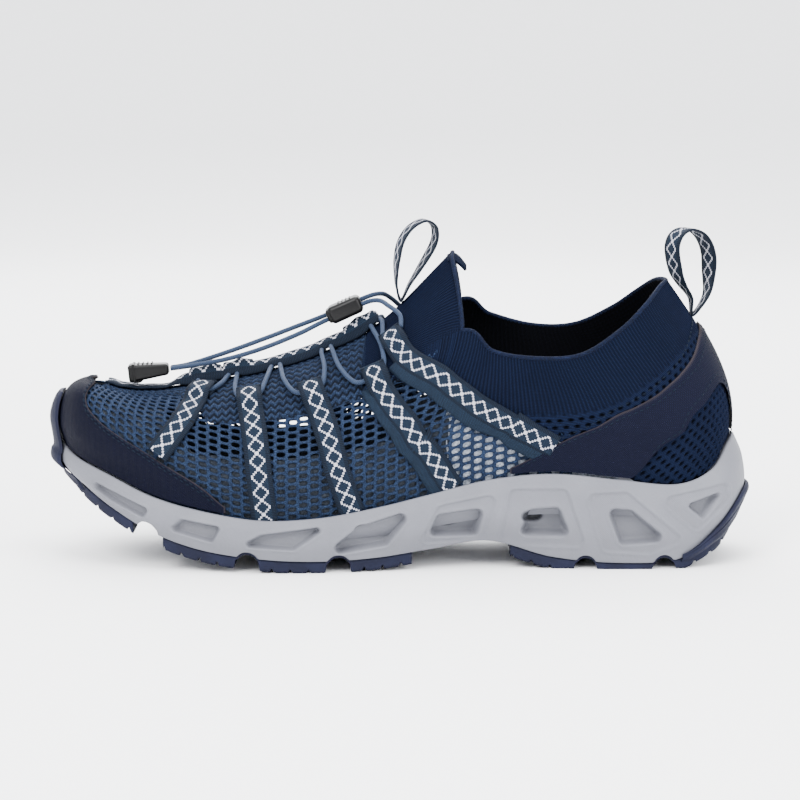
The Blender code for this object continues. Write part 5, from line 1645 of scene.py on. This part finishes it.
def shell(name, places, low, high, steps, lift, wall, material):
    """Overlay between two edges given as functions of the place, thinned at its free edges."""
    columns = len(places) - 1
    bottom, top = low(places), high(places)
    run = upper_point(places, (bottom + top) / 2)
    gone = run_along(run)
    total = 2 * steps + 2

    def shape(u, v):
        index = np.rint(u * columns).astype(int)
        step = v * total
        outside = step <= steps + 0.5
        share = np.where(outside, step / steps, (total - 1 - step) / steps)
        share = np.clip(np.where(step > total - 0.5, 0.0, share), 0, 1)
        place = places[index]
        level = bottom[index] + (top[index] - bottom[index]) * share
        span = np.maximum((top - bottom)[index] * 22 * MM, 1e-5)
        edge = np.minimum(1 - share, 1.0) * span
        end = np.minimum(gone[index], gone[-1] - gone[index])
        round_off = ease(np.minimum(edge, end) / (0.7 * MM))
        out = step <= steps + 0.25
        height = lift + wall * np.where(out & (step < total - 0.5), 0.35 + 0.65 * round_off, 0.0)
        points = raised(place, level, height)
        # The edge mark places the painted highlight along the free edges.
        return points, np.stack([gone[index], level * 24 * MM], axis=1), {
            "edge": 1 - ease(np.minimum(edge, end) / (0.5 * MM))}

    piece = grid_piece(name, columns, total, shape, material)
    return sealed(piece, 2 * total, split=True)


def build_toe_cap(material):
    """Toe cap round the front of the upper, reaching under the sole's rim."""
    inner, _l = even_upper_rows(131, 0.0, 5.41, 2.0, -1)
    places = np.concatenate([-inner[::-1], inner[1:]])
    return shell("toe_cap_cloth", places, bite_level,
                 lambda place: smooth_edge(TOE_CAP_EDGE, np.abs(place)), 56, CAP_LIFT,
                 OVERLAY_WALL, material)


def build_counter(material):
    """Heel counter: a slanting band on each side, joined behind the heel."""
    rows, _l = even_upper_rows(150, 10.34, 16.0, 2.0, -1)
    places = np.concatenate([rows, ROUND - rows[-2::-1]])

    def low(place):
        return np.maximum(smooth_edge(COUNTER_LOW, row_of(place)), bite_level(place))

    return shell("heel_counter_cloth", places, low,
                 lambda place: smooth_edge(COUNTER_TOP, row_of(place)), 40, CAP_LIFT,
                 OVERLAY_WALL, material)


def stitch_row(name, places, levels, height, radius, material):
    """Row of single stitches along a line on the upper."""
    points = raised(places, levels, np.full(len(places), height))
    gone = run_along(points)
    start = 0.0
    bm = bmesh.new()
    while start + STITCH_LENGTH < gone[-1]:
        marks = start + STITCH_LENGTH * np.array([0.0, 0.2, 0.5, 0.8, 1.0])
        line = np.stack([np.interp(marks, gone, points[:, k]) for k in range(3)], axis=1)
        way = unit((line[-1] - line[0])[None])[0]
        row_place = float(np.interp(marks[2], gone, places))
        out = upper_normal([row_place], [float(np.interp(marks[2], gone, levels))])[0]
        side = np.cross(way, out)
        turn = np.stack([way, side, out], axis=1)
        middle = line[2]
        result = bmesh.ops.create_uvsphere(bm, u_segments=6, v_segments=5, radius=1.0)
        for vert in result["verts"]:
            spot = np.array([vert.co.z * STITCH_LENGTH * 0.5, vert.co.x * radius, vert.co.y * radius])
            vert.co = middle + turn @ spot
        start += STITCH_LENGTH + STITCH_GAP
    return piece_from(bm, name, material)


def build_stitching(material):
    """Double rows inside the toe cap's edge and by the counter's edges."""
    pieces = []
    for number, inset in enumerate((0.055, 0.125), 1):
        rows, _l = even_upper_rows(260, 0.0, 5.3, 2.2, -1)
        places = np.concatenate([-rows[::-1], rows[1:]])
        levels = smooth_edge(TOE_CAP_EDGE, np.abs(places)) - inset
        pieces.append(stitch_row("toe_cap_stitches_%d" % number, places, levels,
                                 CAP_LIFT + OVERLAY_WALL + 0.06 * MM, THREAD_RADIUS, material))
    rows, _l = even_upper_rows(300, 10.5, 16.0, 2.3, -1)
    places = np.concatenate([rows, ROUND - rows[-2::-1]])
    for number, (table, shift, height) in enumerate((
            (COUNTER_TOP, 0.07, 0.15 * MM), (COUNTER_TOP, -0.06, CAP_LIFT + OVERLAY_WALL),
            (COUNTER_LOW, 0.06, CAP_LIFT + OVERLAY_WALL)), 1):
        levels = smooth_edge(table, row_of(places)) + shift
        keep = (row_of(places) > (12.5 if table is COUNTER_LOW else 10.4))
        pieces.append(stitch_row("counter_stitches_%d" % number, places[keep], levels[keep],
                                 height, THREAD_RADIUS, material))
    return pieces


def tape_section(v, across):
    """Place across a tape and height through it, for points round its section."""
    back = 2 * across + 2
    step = np.rint(v * (back + 2)).astype(int)
    parts = [step <= across, step <= across + 2, step <= back]
    spread = np.select(parts, [step / across - 0.5, 0.5, 0.5 - (step - across - 2) / across], -0.5)
    upward = np.select(parts, [1.0, 1 - (step - across) / 2, 0.0], (step - back) / 2)
    return spread, upward


def strap_spot(strap, side, share):
    """Place and level of a strap's middle line at shares of its length."""
    row, level = along(np.array(strap), share * (len(strap) - 1)).T
    return sided(row, side), level


def build_strap(name, strap, side, material, width=STRAP_WIDTH, aside=0.0, proud=0.0, begin=0.0):
    """Tape strap with a crowned face, raised over the lace at its top."""
    steps, across = 120, 14
    share_line = begin + (1 - begin) * np.linspace(0, 1, steps + 1) ** 1.1
    place, level = strap_spot(strap, side, share_line)
    level = np.maximum(level, free_level(place) - 0.10)
    here = upper_point(place, level)
    gone = run_along(here)
    ahead = unit(np.gradient(here, axis=0))
    sideways = unit(np.cross(upper_normal(place, level), ahead))
    lift = LACE_LIFT * (1 - ease((gone - HUMP_FLAT) / HUMP_FALL)) if not begin and not aside else gone * 0
    total = 2 * across + 4

    def shape(u, v):
        index = np.rint(u * steps).astype(int)
        spread, upward = tape_section(v, across)
        move = sideways[index] * ((spread * width + aside))[:, None]
        spot_place, spot_level = walk(place[index], level[index], move)
        crown = 1 - 0.55 * np.abs(spread * 2) ** 6
        low = STRAP_GAP - 0.35 * MM + lift[index] + proud
        wall = OVERLAY_WALL * 1.05 * crown
        points = raised(spot_place, spot_level, low + wall * upward)
        return points, np.stack([gone[index] - 2.6 * MM, spread * width], axis=1), None

    piece = grid_piece(name, steps, total, shape, material)
    return sealed(piece, 2 * total)


def build_fold(name, strap, side, material):
    """Strap's end, folded back round the lace and under itself."""
    across, turn_steps = 12, 16
    place, level = strap_spot(strap, side, np.array([0.0, 0.03]))
    here = upper_point(place, level)
    ahead = unit((here[1] - here[0])[None])
    out = upper_normal(place[:1], level[:1])
    sideways = unit(np.cross(out, ahead))
    radius = LACE_LIFT / 2 + OVERLAY_WALL * 0.35

    def shape(u, v):
        spread = u - 0.5
        move = sideways * (spread * STRAP_WIDTH * 0.98)[:, None]
        spot_place, spot_level = walk(np.full(len(u), place[0]), np.full(len(u), level[0]), move)
        normal = upper_normal(spot_place, spot_level)
        base = upper_point(spot_place, spot_level)
        tail = np.clip((v - 0.6) / 0.4, 0, 1) * 6.5 * MM
        angle = np.clip(v / 0.6, 0, 1) * pi
        back = -np.sin(angle) * radius + tail
        height = STRAP_GAP - 0.35 * MM + LACE_LIFT + OVERLAY_WALL * 0.6 - (1 - np.cos(angle)) * radius
        height = np.maximum(height, 0.15 * MM)
        points = base + normal * height[:, None] + ahead * back[:, None]
        return points, np.stack([-v * 0.01, spread * STRAP_WIDTH], axis=1), None

    piece = grid_piece(name, across, turn_steps, shape, material)
    return thicken(piece, OVERLAY_WALL * 0.75, 0.0)


def ribbon_levels(row):
    """Height and thickness of the throat ribbon at rows."""
    share = ease((row - RIBBON_RAISE[0]) / (RIBBON_RAISE[1] - RIBBON_RAISE[0]))
    return SKIN_GAP + LACE_LIFT * share, OVERLAY_WALL + (RIBBON_WALL - OVERLAY_WALL) * share * 0.55


def edge_rise(row):
    """How much the ribbon's edges are lifted by the lace that passes under them, as a share."""
    rise = 0.0
    for crossing in LACE_CROSSINGS:
        rise = np.maximum(rise, np.exp(-((row - crossing) / 0.11) ** 2))
    return rise


def ribbon_strip(name, start, end, steps, profile, width, material):
    """Closed strip along the ridge between two rows, with its height given by a profile."""
    rows = np.linspace(start, end, steps + 1)
    here = ridge_at(rows)
    gone = run_along(here)
    across = 14
    total = 2 * across + 4

    def shape(u, v):
        index = np.rint(u * steps).astype(int)
        spread, upward = tape_section(v, across)
        row = rows[index]
        place = np.where(spread <= 0, row, ROUND - row)
        move = np.zeros((len(u), 3))
        move[:, 1] = spread * width
        spot_place, spot_level = walk(place, np.full(len(u), 3.98), move)
        low, wall = profile(row, gone[index])
        settled = 0.35 * MM + edge_rise(row) * 1.3 * MM
        droop = ease((row - 4.1) / 0.5) * np.abs(spread * 2) ** 1.7
        low = low + (np.minimum(settled, low) - low) * droop
        crown = 1 - 0.5 * np.abs(spread * 2) ** 6
        points = raised(spot_place, spot_level, low + wall * crown * upward)
        return points, np.stack([gone[index], spread * width], axis=1), None

    piece = grid_piece(name, steps, total, shape, material)
    return sealed(piece, 2 * total)


def build_ribbon(material):
    """Throat ribbon and the folded tapes on it."""
    def flat(row, _gone):
        low, wall = ribbon_levels(row)
        return low + 0.12 * MM * np.sin(row * 9), wall

    pieces = [ribbon_strip("ribbon_tape", RIBBON_START, RIBBON_END, 260, flat, RIBBON_WIDTH, material)]
    for number, (start, end, tall) in enumerate(((4.62, 5.22, 1.5), (5.26, 5.78, 1.9),
                                                 (7.42, 7.98, 1.7)), 1):
        def bump(row, _gone, start=start, end=end, tall=tall):
            low, wall = ribbon_levels(row)
            share = (row - start) / (end - start)
            arch = np.clip(4 * share * (1 - share), 0, 1) ** 0.45
            wave = 0.3 * np.sin(share * 2 * pi * 1.5 + number)
            return low + wall + (tall * arch * (0.75 + wave) - 0.1) * MM * 0.8, 0.9 * MM + 0 * row

        pieces.append(ribbon_strip("ribbon_fold_%d" % number, start, end, 60, bump,
                                   RIBBON_WIDTH * 0.97, material))
    return pieces


def build_lace(name, side, material):
    """Elastic lace of one side, through the straps' folded ends and under the ribbon."""
    rows = np.array([[point.row, point.level] for point in LACE])
    place = sided(rows[:, 0], side)
    keys = raised(place, rows[:, 1], np.full(len(place), LACE_HEIGHT))
    return tube(name, resample(keys, 0.9 * MM), LACE_DIAMETER / 2, material, 12)


def free_lace_points(name, side):
    """Route of a free lace: from the end clip through the cord lock to the top strap."""
    keys = [np.array(point) * MM for point in FREE_LACE[name]]
    place = sided(FREE_LACE_END, side)
    for level, height in ((FREE_LACE_END_LEVEL + 0.2, LACE_HEIGHT * 1.3),
                          (FREE_LACE_END_LEVEL + 0.03, LACE_HEIGHT)):
        keys.append(raised([place], [level], [height])[0])
    return resample(keys, 1.0 * MM)


def rounded_block(name, size, taper, bevel, material, segments=6):
    """Block with rounded edges, its end towards the heel made smaller by a share."""
    bm = bmesh.new()
    bmesh.ops.create_cube(bm, size=1)
    for vert in bm.verts:
        shrink = taper if vert.co.x > 0 else 1
        vert.co = Vector((vert.co.x * size[0], vert.co.y * size[1] * (1 + shrink) / 2,
                          vert.co.z * size[2] * shrink))
    bmesh.ops.bevel(bm, geom=bm.edges[:], offset=bevel, segments=segments, profile=0.5,
                    affect="EDGES", material=-1)
    return piece_from(bm, name, material)


def settle(piece, middle, rise):
    """Turn a piece about Y, move it to its place and keep both in its mesh."""
    piece.data.transform(Matrix.Translation(middle) @ Matrix.Rotation(-rise, 4, "Y"))
    return piece


def bored(piece, cutters):
    """Cut round holes through a piece and keep the result in its mesh."""
    made = []
    for number, (aside, up) in enumerate(cutters):
        bm = bmesh.new()
        bmesh.ops.create_cone(bm, cap_ends=True, segments=32, radius1=LOCK_BORE / 2,
                              radius2=LOCK_BORE / 2, depth=LOCK_SIZE[0] * 1.6)
        bm.transform(Matrix.Translation((0, aside, up)) @ Matrix.Rotation(radians(90), 4, "Y"))
        mesh = bpy.data.meshes.new("bore_%d" % number)
        bm.to_mesh(mesh)
        bm.free()
        cutter = bpy.data.objects.new("bore_%d" % number, mesh)
        bpy.context.scene.collection.objects.link(cutter)
        made.append(cutter)
        cut = piece.modifiers.new("bore", "BOOLEAN")
        cut.operation = "DIFFERENCE"
        cut.object = cutter
    solid = bpy.data.meshes.new_from_object(
        piece.evaluated_get(bpy.context.evaluated_depsgraph_get()))
    piece.modifiers.clear()
    piece.data = solid
    for cutter in made:
        bpy.data.objects.remove(cutter, do_unlink=True)
    solid.shade_smooth()
    solid.set_sharp_from_angle(angle=radians(40))
    return piece


def build_lock(material):
    """Cord lock: body with two bores, a button at one end and ribs on its top."""
    body = rounded_block("cord_lock_body", LOCK_SIZE, 0.96, 2.0 * MM, material)
    bored(body, ((-BORE_ASIDE, -BORE_UP), (BORE_ASIDE, BORE_UP)))
    button = rounded_block("cord_lock_button", (4.2 * MM, 9.4 * MM, 6.2 * MM), 0.9, 1.3 * MM, material)
    button.data.transform(Matrix.Translation((-LOCK_SIZE[0] * 0.42, 0, 0.1 * MM)))
    ribs = []
    for number in range(4):
        rib = rounded_block("cord_lock_rib_%d" % (number + 1), (0.7 * MM, 7.6 * MM, 0.6 * MM), 1.0,
                            0.25 * MM, material, 3)
        rib.data.transform(Matrix.Translation(((number - 1.0) * 1.7 * MM, 0, LOCK_SIZE[2] * 0.49)))
        ribs.append(rib)
    for piece in (body, button, *ribs):
        settle(piece, LOCK_MIDDLE, LOCK_RISE)
    return [body, button, *ribs]


def build_clip(material):
    """End clip with grip ribs, a joint line and the hook that holds it to the ribbon."""
    body = rounded_block("end_clip_body", CLIP_SIZE, CLIP_TAPER, CLIP_BEVEL, material)
    band = rounded_block("end_clip_band", (1.3 * MM, CLIP_SIZE[1] * 1.03, CLIP_SIZE[2] * 1.05), 1.0,
                         0.5 * MM, material, 3)
    band.data.transform(Matrix.Translation((-CLIP_SIZE[0] * 0.36, 0, 0)))
    ribs = []
    for number in range(4):
        rib = rounded_block("end_clip_rib_%d" % (number + 1), (0.7 * MM, 5.6 * MM, 0.6 * MM), 1.0,
                            0.25 * MM, material, 3)
        rib.data.transform(Matrix.Translation(
            (-4.0 * MM + number * 1.9 * MM, 0, CLIP_SIZE[2] * (0.485 - 0.02 * number))))
        ribs.append(rib)
    for piece in (body, band, *ribs):
        settle(piece, CLIP_MIDDLE, CLIP_RISE)
    ring = [(CLIP_HOOK[0] + 1.9 * MM * cos(turn), 0.0, CLIP_HOOK[2] + 1.0 * MM + 1.7 * MM * sin(turn))
            for turn in np.linspace(0, 2 * pi, 25)[:-1]]
    hook = tube("end_clip_hook", ring, 0.6 * MM, material, 10, closed=True)
    return [body, band, *ribs, hook]


def build_band(name, route, turn, material):
    """Closed loop of tape, turned about the upright through its seam."""
    keys = np.array([[x * MM, 0.0, z * MM] for x, z in route])
    count = 160
    place = np.linspace(0, len(keys), count + 1)
    here = around(keys, place)
    ahead = unit(around(keys, place + 0.1) - around(keys, place - 0.1))
    out = np.stack([-ahead[:, 2], np.zeros(count + 1), ahead[:, 0]], axis=1)
    foot, top = keys[0], keys[:, 2].max()
    turned = turn * ease((here[:, 2] - foot[2]) / (top - foot[2]) * 1.6)

    def spun(vectors):
        x, y = vectors[:, 0], vectors[:, 1]
        return np.stack([x * np.cos(turned) - y * np.sin(turned),
                         x * np.sin(turned) + y * np.cos(turned), vectors[:, 2]], axis=1)

    middle = spun(here - foot) + foot
    wide = spun(np.tile([[0.0, 1.0, 0.0]], (count + 1, 1)))
    face = spun(out)
    gone = run_along(here)
    across = 12
    total = 2 * across + 4

    def shape(u, v):
        index = np.rint(u * count).astype(int)
        spread, upward = tape_section(v, across)
        upward = 2 * upward - 1
        crown = 1 - 0.4 * np.abs(spread * 2) ** 6
        points = (middle[index] + wide[index] * (spread * LOOP_WIDTH)[:, None]
                  + face[index] * (upward * crown * LOOP_WALL / 2)[:, None])
        return points, np.stack([gone[index], spread * LOOP_WIDTH], axis=1), None

    piece = grid_piece(name, count, total, shape, material)
    return face_outwards(weld(piece))


# Camera: the point that it looks at and its angle above the ground
CAMERA_TARGET = (-96.5 * MM, 0.0, 64.8 * MM)
CAMERA_ELEVATION = radians(8)
# Floor behind the shoe: where it begins to rise and the radius of the rise
SWEEP_START, SWEEP_RADIUS = 1.3, 1.2


def colour_setting(name, value, what):
    """Colour setting of the panel."""
    return bpy.props.FloatVectorProperty(name=name, description=what, default=value, size=3,
                                         subtype="COLOR", min=0.0, max=1.0)


class ShoeColours(bpy.types.PropertyGroup):
    """Colours of the shoe's pieces."""

    foam: colour_setting("Foam", (0.118, 0.121, 0.140), "Colour of the midsole's foam")
    rubber: colour_setting("Rubber", (0.0062, 0.0074, 0.0190), "Colour of the treads, bumper and wrap")
    insole: colour_setting("Insole", (0.20, 0.215, 0.24), "Colour of the insole's cloth")
    mesh: colour_setting("Mesh", (0.0036, 0.0068, 0.0185), "Colour of the mesh's yarn")
    mesh_bright: colour_setting("Mesh highlight", (0.019, 0.035, 0.076), "Lit threads of the mesh")
    knit: colour_setting("Knit", (0.0012, 0.0024, 0.0080), "Colour of the collar's and tongue's knit")
    knit_bright: colour_setting("Knit highlight", (0.0048, 0.0088, 0.0270), "Lit threads of the knit")
    # Lining: dark navy, darkened further as painted shade inside the collar.
    lining: colour_setting("Lining", (0.0003, 0.0004, 0.0010), "Colour inside the collar")
    toe_cap: colour_setting("Toe cap", (0.0017, 0.0021, 0.0075), "Colour of the toe cap's cloth")
    counter: colour_setting("Heel counter", (0.0030, 0.0038, 0.0125), "Colour of the counter's cloth")
    tape: colour_setting("Tape", (0.0044, 0.0100, 0.0205), "Ground colour of the woven tape")
    tape_edge: colour_setting("Tape edge", (0.0026, 0.0056, 0.0125), "Colour of the tape's ribbed edges")
    tape_white: colour_setting("Tape diamonds", (0.48, 0.48, 0.54), "Colour of the tape's diamonds")
    lace: colour_setting("Lace", (0.0095, 0.0185, 0.0400), "Colour of the elastic lace")
    plastic: colour_setting("Plastic", (0.0011, 0.0011, 0.0013), "Colour of the cord lock and end clip")
    floor: colour_setting("Floor", (0.95, 0.95, 0.95), "Colour of the studio floor")


class ShoeSizes(bpy.types.PropertyGroup):
    """Sizes of the studio."""

    floor_size: bpy.props.FloatProperty(name="Floor", description="Width of the studio floor",
                                        default=8.0, min=2.0, subtype="DISTANCE", unit="LENGTH")
    camera_distance: bpy.props.FloatProperty(name="Camera distance",
                                             description="Distance from the camera to the shoe",
                                             default=1.4, min=0.5, subtype="DISTANCE", unit="LENGTH")
    camera_lens: bpy.props.FloatProperty(name="Lens", description="Focal length in millimetres",
                                         default=150.0, min=20.0, subtype="DISTANCE_CAMERA")


class SHOE_OT_sole(bpy.types.Operator):
    """Build the midsole and the insole"""

    bl_idname = "shoe.sole"
    bl_label = "Midsole and insole"
    bl_options = {"REGISTER", "UNDO"}

    def execute(self, context):
        """Foam and insole."""
        look = context.scene.shoe_colours
        build_midsole(tuple(look.foam))
        build_insole(tuple(look.insole))
        return {"FINISHED"}


class SHOE_OT_rubber(bpy.types.Operator):
    """Build the rubber treads, the toe bumper and the heel wrap"""

    bl_idname = "shoe.rubber"
    bl_label = "Outsole rubber"
    bl_options = {"REGISTER", "UNDO"}

    def execute(self, context):
        """Treads and the two rubber wraps."""
        look = context.scene.shoe_colours
        rubber = rubber_material(tuple(look.rubber))
        finish_piece(build_tread("toe_tread", 0, TOE_TREAD_END, FORE_ACROSS, rubber),
                     "rubber", "outsole_toe")
        finish_piece(build_tread("forefoot_tread", *FORE_TREAD, FORE_ACROSS, rubber),
                     "rubber", "outsole_forefoot")
        finish_piece(build_tread("heel_tread", HEEL_TREAD_START, 1, HEEL_ACROSS, rubber),
                     "rubber", "outsole_heel")
        finish_piece(build_toe_bumper(rubber), "rubber", "outsole_toe")
        finish_piece(build_heel_wrap(rubber), "rubber", "outsole_heel")
        return {"FINISHED"}


class SHOE_OT_mesh(bpy.types.Operator):
    """Build the open mesh, its linings and the coarse knit of the throat"""

    bl_idname = "shoe.mesh"
    bl_label = "Vamp mesh"
    bl_options = {"REGISTER", "UNDO"}

    def execute(self, context):
        """Mesh, linings and throat knit of both sides."""
        look = context.scene.shoe_colours
        yarn = yarn_material("mesh_yarn", tuple(look.mesh), tuple(look.mesh_bright), recess_shade=False)
        coarse = yarn_material("throat_yarn", tuple(look.mesh), tuple(look.mesh_bright))
        # Lining behind the front mesh: a real dark lining, painted near black as the shade inside the toe
        # that shows through the holes.
        dark = felt_material("dark_lining_with_painted_shade", (0.007, 0.009, 0.013), (0.030, 0.036, 0.048))
        pale = felt_material("pale_lining", (0.15, 0.17, 0.21), (0.40, 0.43, 0.49), 0.0009)
        for side, word in ((-1, "outer"), (1, "inner")):
            finish_piece(build_mesh_side("vamp_mesh_" + word, side, yarn), "upper", "upper")
            finish_piece(build_throat("throat_knit_" + word, side, coarse), "upper", "upper")
            finish_piece(build_liner("front_liner_" + word, side, 0.4, 9.4, 0.95,
                                     lambda row: np.interp(row, [0, 4.0, 4.8, 6.0, 9.4],
                                                           [3.7, 3.6, 2.35, 2.25, 2.15]),
                                     dark), "upper", "upper")
            finish_piece(build_liner("arch_liner_" + word, side, 9.3, 12.0, 0.95,
                                     lambda row: np.interp(row, [9.3, 10, 12], [2.2, 2.0, 1.3]),
                                     pale), "upper", "upper")
        return {"FINISHED"}


class SHOE_OT_knit(bpy.types.Operator):
    """Build the collar, the tongue, their lining and their turned edge"""

    bl_idname = "shoe.knit"
    bl_label = "Collar and tongue knit"
    bl_options = {"REGISTER", "UNDO"}

    def execute(self, context):
        """Ribbed and coarse knit of both sides."""
        look = context.scene.shoe_colours
        rib = rib_material("rib_knit", tuple(look.knit), tuple(look.knit_bright))
        # Collar lining: its colour carries painted shade inside the opening.
        lining = rib_material("collar_lining", tuple(look.lining), shade(tuple(look.lining), 3.0))
        edge = yarn_material("edge_yarn", tuple(look.knit), shade(tuple(look.knit_bright), 1.25),
                             recess_shade=False)
        for side, word in ((-1, "outer"), (1, "inner")):
            finish_piece(build_collar_side("collar_knit_" + word, side, rib), "upper", "upper")
            finish_piece(build_tongue("tongue_knit_" + word, side, rib), "upper", "upper")
            finish_piece(build_lining("collar_lining_" + word, side, lining), "upper", "upper")
        finish_piece(build_collar_edge("collar_edge", edge), "upper", "upper")
        finish_piece(build_flap("tongue_flap", rib), "upper", "upper")
        return {"FINISHED"}


class SHOE_OT_overlays(bpy.types.Operator):
    """Build the toe cap, the heel counter and their stitching"""

    bl_idname = "shoe.overlays"
    bl_label = "Overlays and stitches"
    bl_options = {"REGISTER", "UNDO"}

    def execute(self, context):
        """Overlays of coated cloth."""
        look = context.scene.shoe_colours
        cap = weave_material("toe_cap_weave", tuple(look.toe_cap), shade(tuple(look.toe_cap), 1.5),
                             0.95, True)
        grid = weave_material("counter_weave", tuple(look.counter), shade(tuple(look.counter), 1.45),
                              0.95, False)
        thread = thread_material("sewing_thread", shade(tuple(look.tape_edge), 0.9))
        finish_piece(build_toe_cap(cap), "overlay", "toe_cap")
        finish_piece(build_counter(grid), "overlay", "heel_counter")
        for piece in build_stitching(thread):
            finish_piece(piece, "overlay")
        return {"FINISHED"}


class SHOE_OT_tapes(bpy.types.Operator):
    """Build the straps, the throat ribbon and the pull loops"""

    bl_idname = "shoe.tapes"
    bl_label = "Woven tapes"
    bl_options = {"REGISTER", "UNDO"}

    def execute(self, context):
        """Tapes with white diamonds."""
        look = context.scene.shoe_colours
        tape = tape_material(tuple(look.tape), tuple(look.tape_edge), tuple(look.tape_white))
        plain = tape_material(tuple(look.tape), tuple(look.tape_edge), tuple(look.tape_white), True)
        for side, word in ((-1, "outer"), (1, "inner")):
            for number, strap in enumerate(STRAPS, 1):
                node = "strap_%s_%d" % (word, number)
                piece = build_strap("tape_%s_%d" % (word, number), strap, side, tape)
                finish_piece(piece, "tape", node)
                finish_piece(build_fold("fold_%s_%d" % (word, number), strap, side, plain),
                             "tape", node)
                if number >= 4:
                    finish_piece(build_strap("backing_%s_%d" % (word, number), strap, side, plain,
                                             BACKING_WIDTH, BACKING_ASIDE * side, BACKING_PROUD,
                                             BACKING_BEGIN),
                                 "tape", node)
        for piece in build_ribbon(tape):
            finish_piece(piece, "tape", "throat_ribbon")
        finish_piece(build_band("front_loop_tape", FRONT_LOOP, FRONT_LOOP_TURN, tape),
                     "tape", "front_pull_loop")
        finish_piece(build_band("heel_loop_tape", HEEL_LOOP, HEEL_LOOP_TURN, tape),
                     "tape", "heel_pull_loop")
        return {"FINISHED"}


class SHOE_OT_laces(bpy.types.Operator):
    """Build the elastic laces, the cord lock and the end clip"""

    bl_idname = "shoe.laces"
    bl_label = "Laces and fittings"
    bl_options = {"REGISTER", "UNDO"}

    def execute(self, context):
        """Cord lock and end clip first, then the laces of both sides."""
        look = context.scene.shoe_colours
        braid = braid_material("braided_lace", tuple(look.lace), shade(tuple(look.lace), 2.0))
        plastic = plastic_material(tuple(look.plastic))
        lock, clip = build_lock(plastic), build_clip(plastic)
        for piece in lock:
            finish_piece(piece, "plastic", "cord_lock")
        for piece in clip:
            finish_piece(piece, "plastic", "end_clip")
        for side, word in ((-1, "outer"), (1, "inner")):
            finish_piece(build_lace("elastic_lace_" + word, side, braid), "lace", "lace_" + word)
            name = "free_lace_" + word
            points = free_lace_points(name, side)[::-1]
            free = finish_piece(tube("loose_lace_" + word, points, LACE_DIAMETER / 2, braid, 12),
                                "lace", name)
            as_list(clip if side < 0 else lock)
        return {"FINISHED"}


class SHOE_OT_stage(bpy.types.Operator):
    """Build the camera, the floor and the lights"""

    bl_idname = "shoe.stage"
    bl_label = "Studio"
    bl_options = {"REGISTER", "UNDO"}

    def execute(self, context):
        """Camera at the photograph's angle, a pale sweep and soft lights."""
        sizes, look = context.scene.shoe_sizes, context.scene.shoe_colours
        lens = bpy.data.cameras.new("studio_camera")
        lens.lens, lens.sensor_width = sizes.camera_lens, 36.0
        camera = bpy.data.objects.new("studio_camera", lens)
        away = Vector((0, -cos(CAMERA_ELEVATION), sin(CAMERA_ELEVATION))) * sizes.camera_distance
        camera.location = Vector(CAMERA_TARGET) + away
        camera.rotation_euler = (radians(90) - CAMERA_ELEVATION, 0, 0)
        context.scene.collection.objects.link(camera)
        context.scene.camera = camera

        bm = bmesh.new()
        bmesh.ops.create_grid(bm, x_segments=8, y_segments=80, size=0.5)
        for vert in bm.verts:
            run = (vert.co.y + 0.5) * sizes.floor_size - sizes.floor_size * 0.4
            turn = min(max((run - SWEEP_START) / SWEEP_RADIUS, 0.0), pi / 2)
            rest = max(run - SWEEP_START - SWEEP_RADIUS * pi / 2, 0.0)
            vert.co = Vector((vert.co.x * sizes.floor_size,
                              min(run, SWEEP_START) + SWEEP_RADIUS * sin(turn),
                              SWEEP_RADIUS * (1 - cos(turn)) + rest))
        mesh = bpy.data.meshes.new("studio_floor")
        bm.to_mesh(mesh)
        bm.free()
        mesh.shade_smooth()
        mesh.materials.append(floor_material(tuple(look.floor)))
        floor = bpy.data.objects.new("studio_floor", mesh)
        context.scene.collection.objects.link(floor)

        for name, place, size, power in (("key_light", (-0.75, -1.25, 1.25), 1.1, 52.0),
                                         ("top_light", (0.1, -0.1, 1.7), 1.6, 52.0),
                                         ("fill_light", (0.95, -1.0, 0.7), 1.0, 24.0),
                                         ("back_light", (-0.2, 1.0, 0.9), 1.2, 26.0)):
            light = bpy.data.lights.new(name, "AREA")
            light.shape, light.size, light.energy = "DISK", size, power
            lamp = bpy.data.objects.new(name, light)
            lamp.location = place
            lamp.rotation_euler = (Vector((-0.1, 0, 0.05)) - lamp.location).to_track_quat(
                "-Z", "Y").to_euler()
            context.scene.collection.objects.link(lamp)
        world = bpy.data.worlds.new("studio_world")
        world.use_nodes = True
        back = world.node_tree.nodes["Background"]
        back.inputs["Color"].default_value = (0.93, 0.95, 1.0, 1.0)
        back.inputs["Strength"].default_value = 2.1
        context.scene.world = world
        return {"FINISHED"}


class SHOE_PT_panel(bpy.types.Panel):
    """Settings of the shoe and a button for each part"""

    bl_idname = "SHOE_PT_panel"
    bl_label = "Water Shoe"
    bl_space_type = "VIEW_3D"
    bl_region_type = "UI"
    bl_category = "Water Shoe"

    def draw(self, context):
        """Colours, sizes and buttons."""
        for group in (context.scene.shoe_colours, context.scene.shoe_sizes):
            column_ui = self.layout.column(align=True)
            for name in group.__annotations__:
                column_ui.prop(group, name)
        for step in STEPS:
            self.layout.operator(step.bl_idname)


STEPS = (SHOE_OT_stage, SHOE_OT_laces, SHOE_OT_sole, SHOE_OT_rubber, SHOE_OT_mesh, SHOE_OT_knit,
         SHOE_OT_overlays, SHOE_OT_tapes)
CLASSES = (ShoeColours, ShoeSizes, *STEPS, SHOE_PT_panel)


def register():
    """Register the add-on."""
    for kind in CLASSES:
        bpy.utils.register_class(kind)
    bpy.types.Scene.shoe_colours = bpy.props.PointerProperty(type=ShoeColours)
    bpy.types.Scene.shoe_sizes = bpy.props.PointerProperty(type=ShoeSizes)


def unregister():
    """Take the add-on out again."""
    del bpy.types.Scene.shoe_sizes
    del bpy.types.Scene.shoe_colours
    for kind in reversed(CLASSES):
        bpy.utils.unregister_class(kind)


def main():
    """Build the studio and the shoe."""
    register()
    for step in STEPS:
        group, name = step.bl_idname.split(".")
        getattr(getattr(bpy.ops, group), name)()


if __name__ == "__main__":
    main()
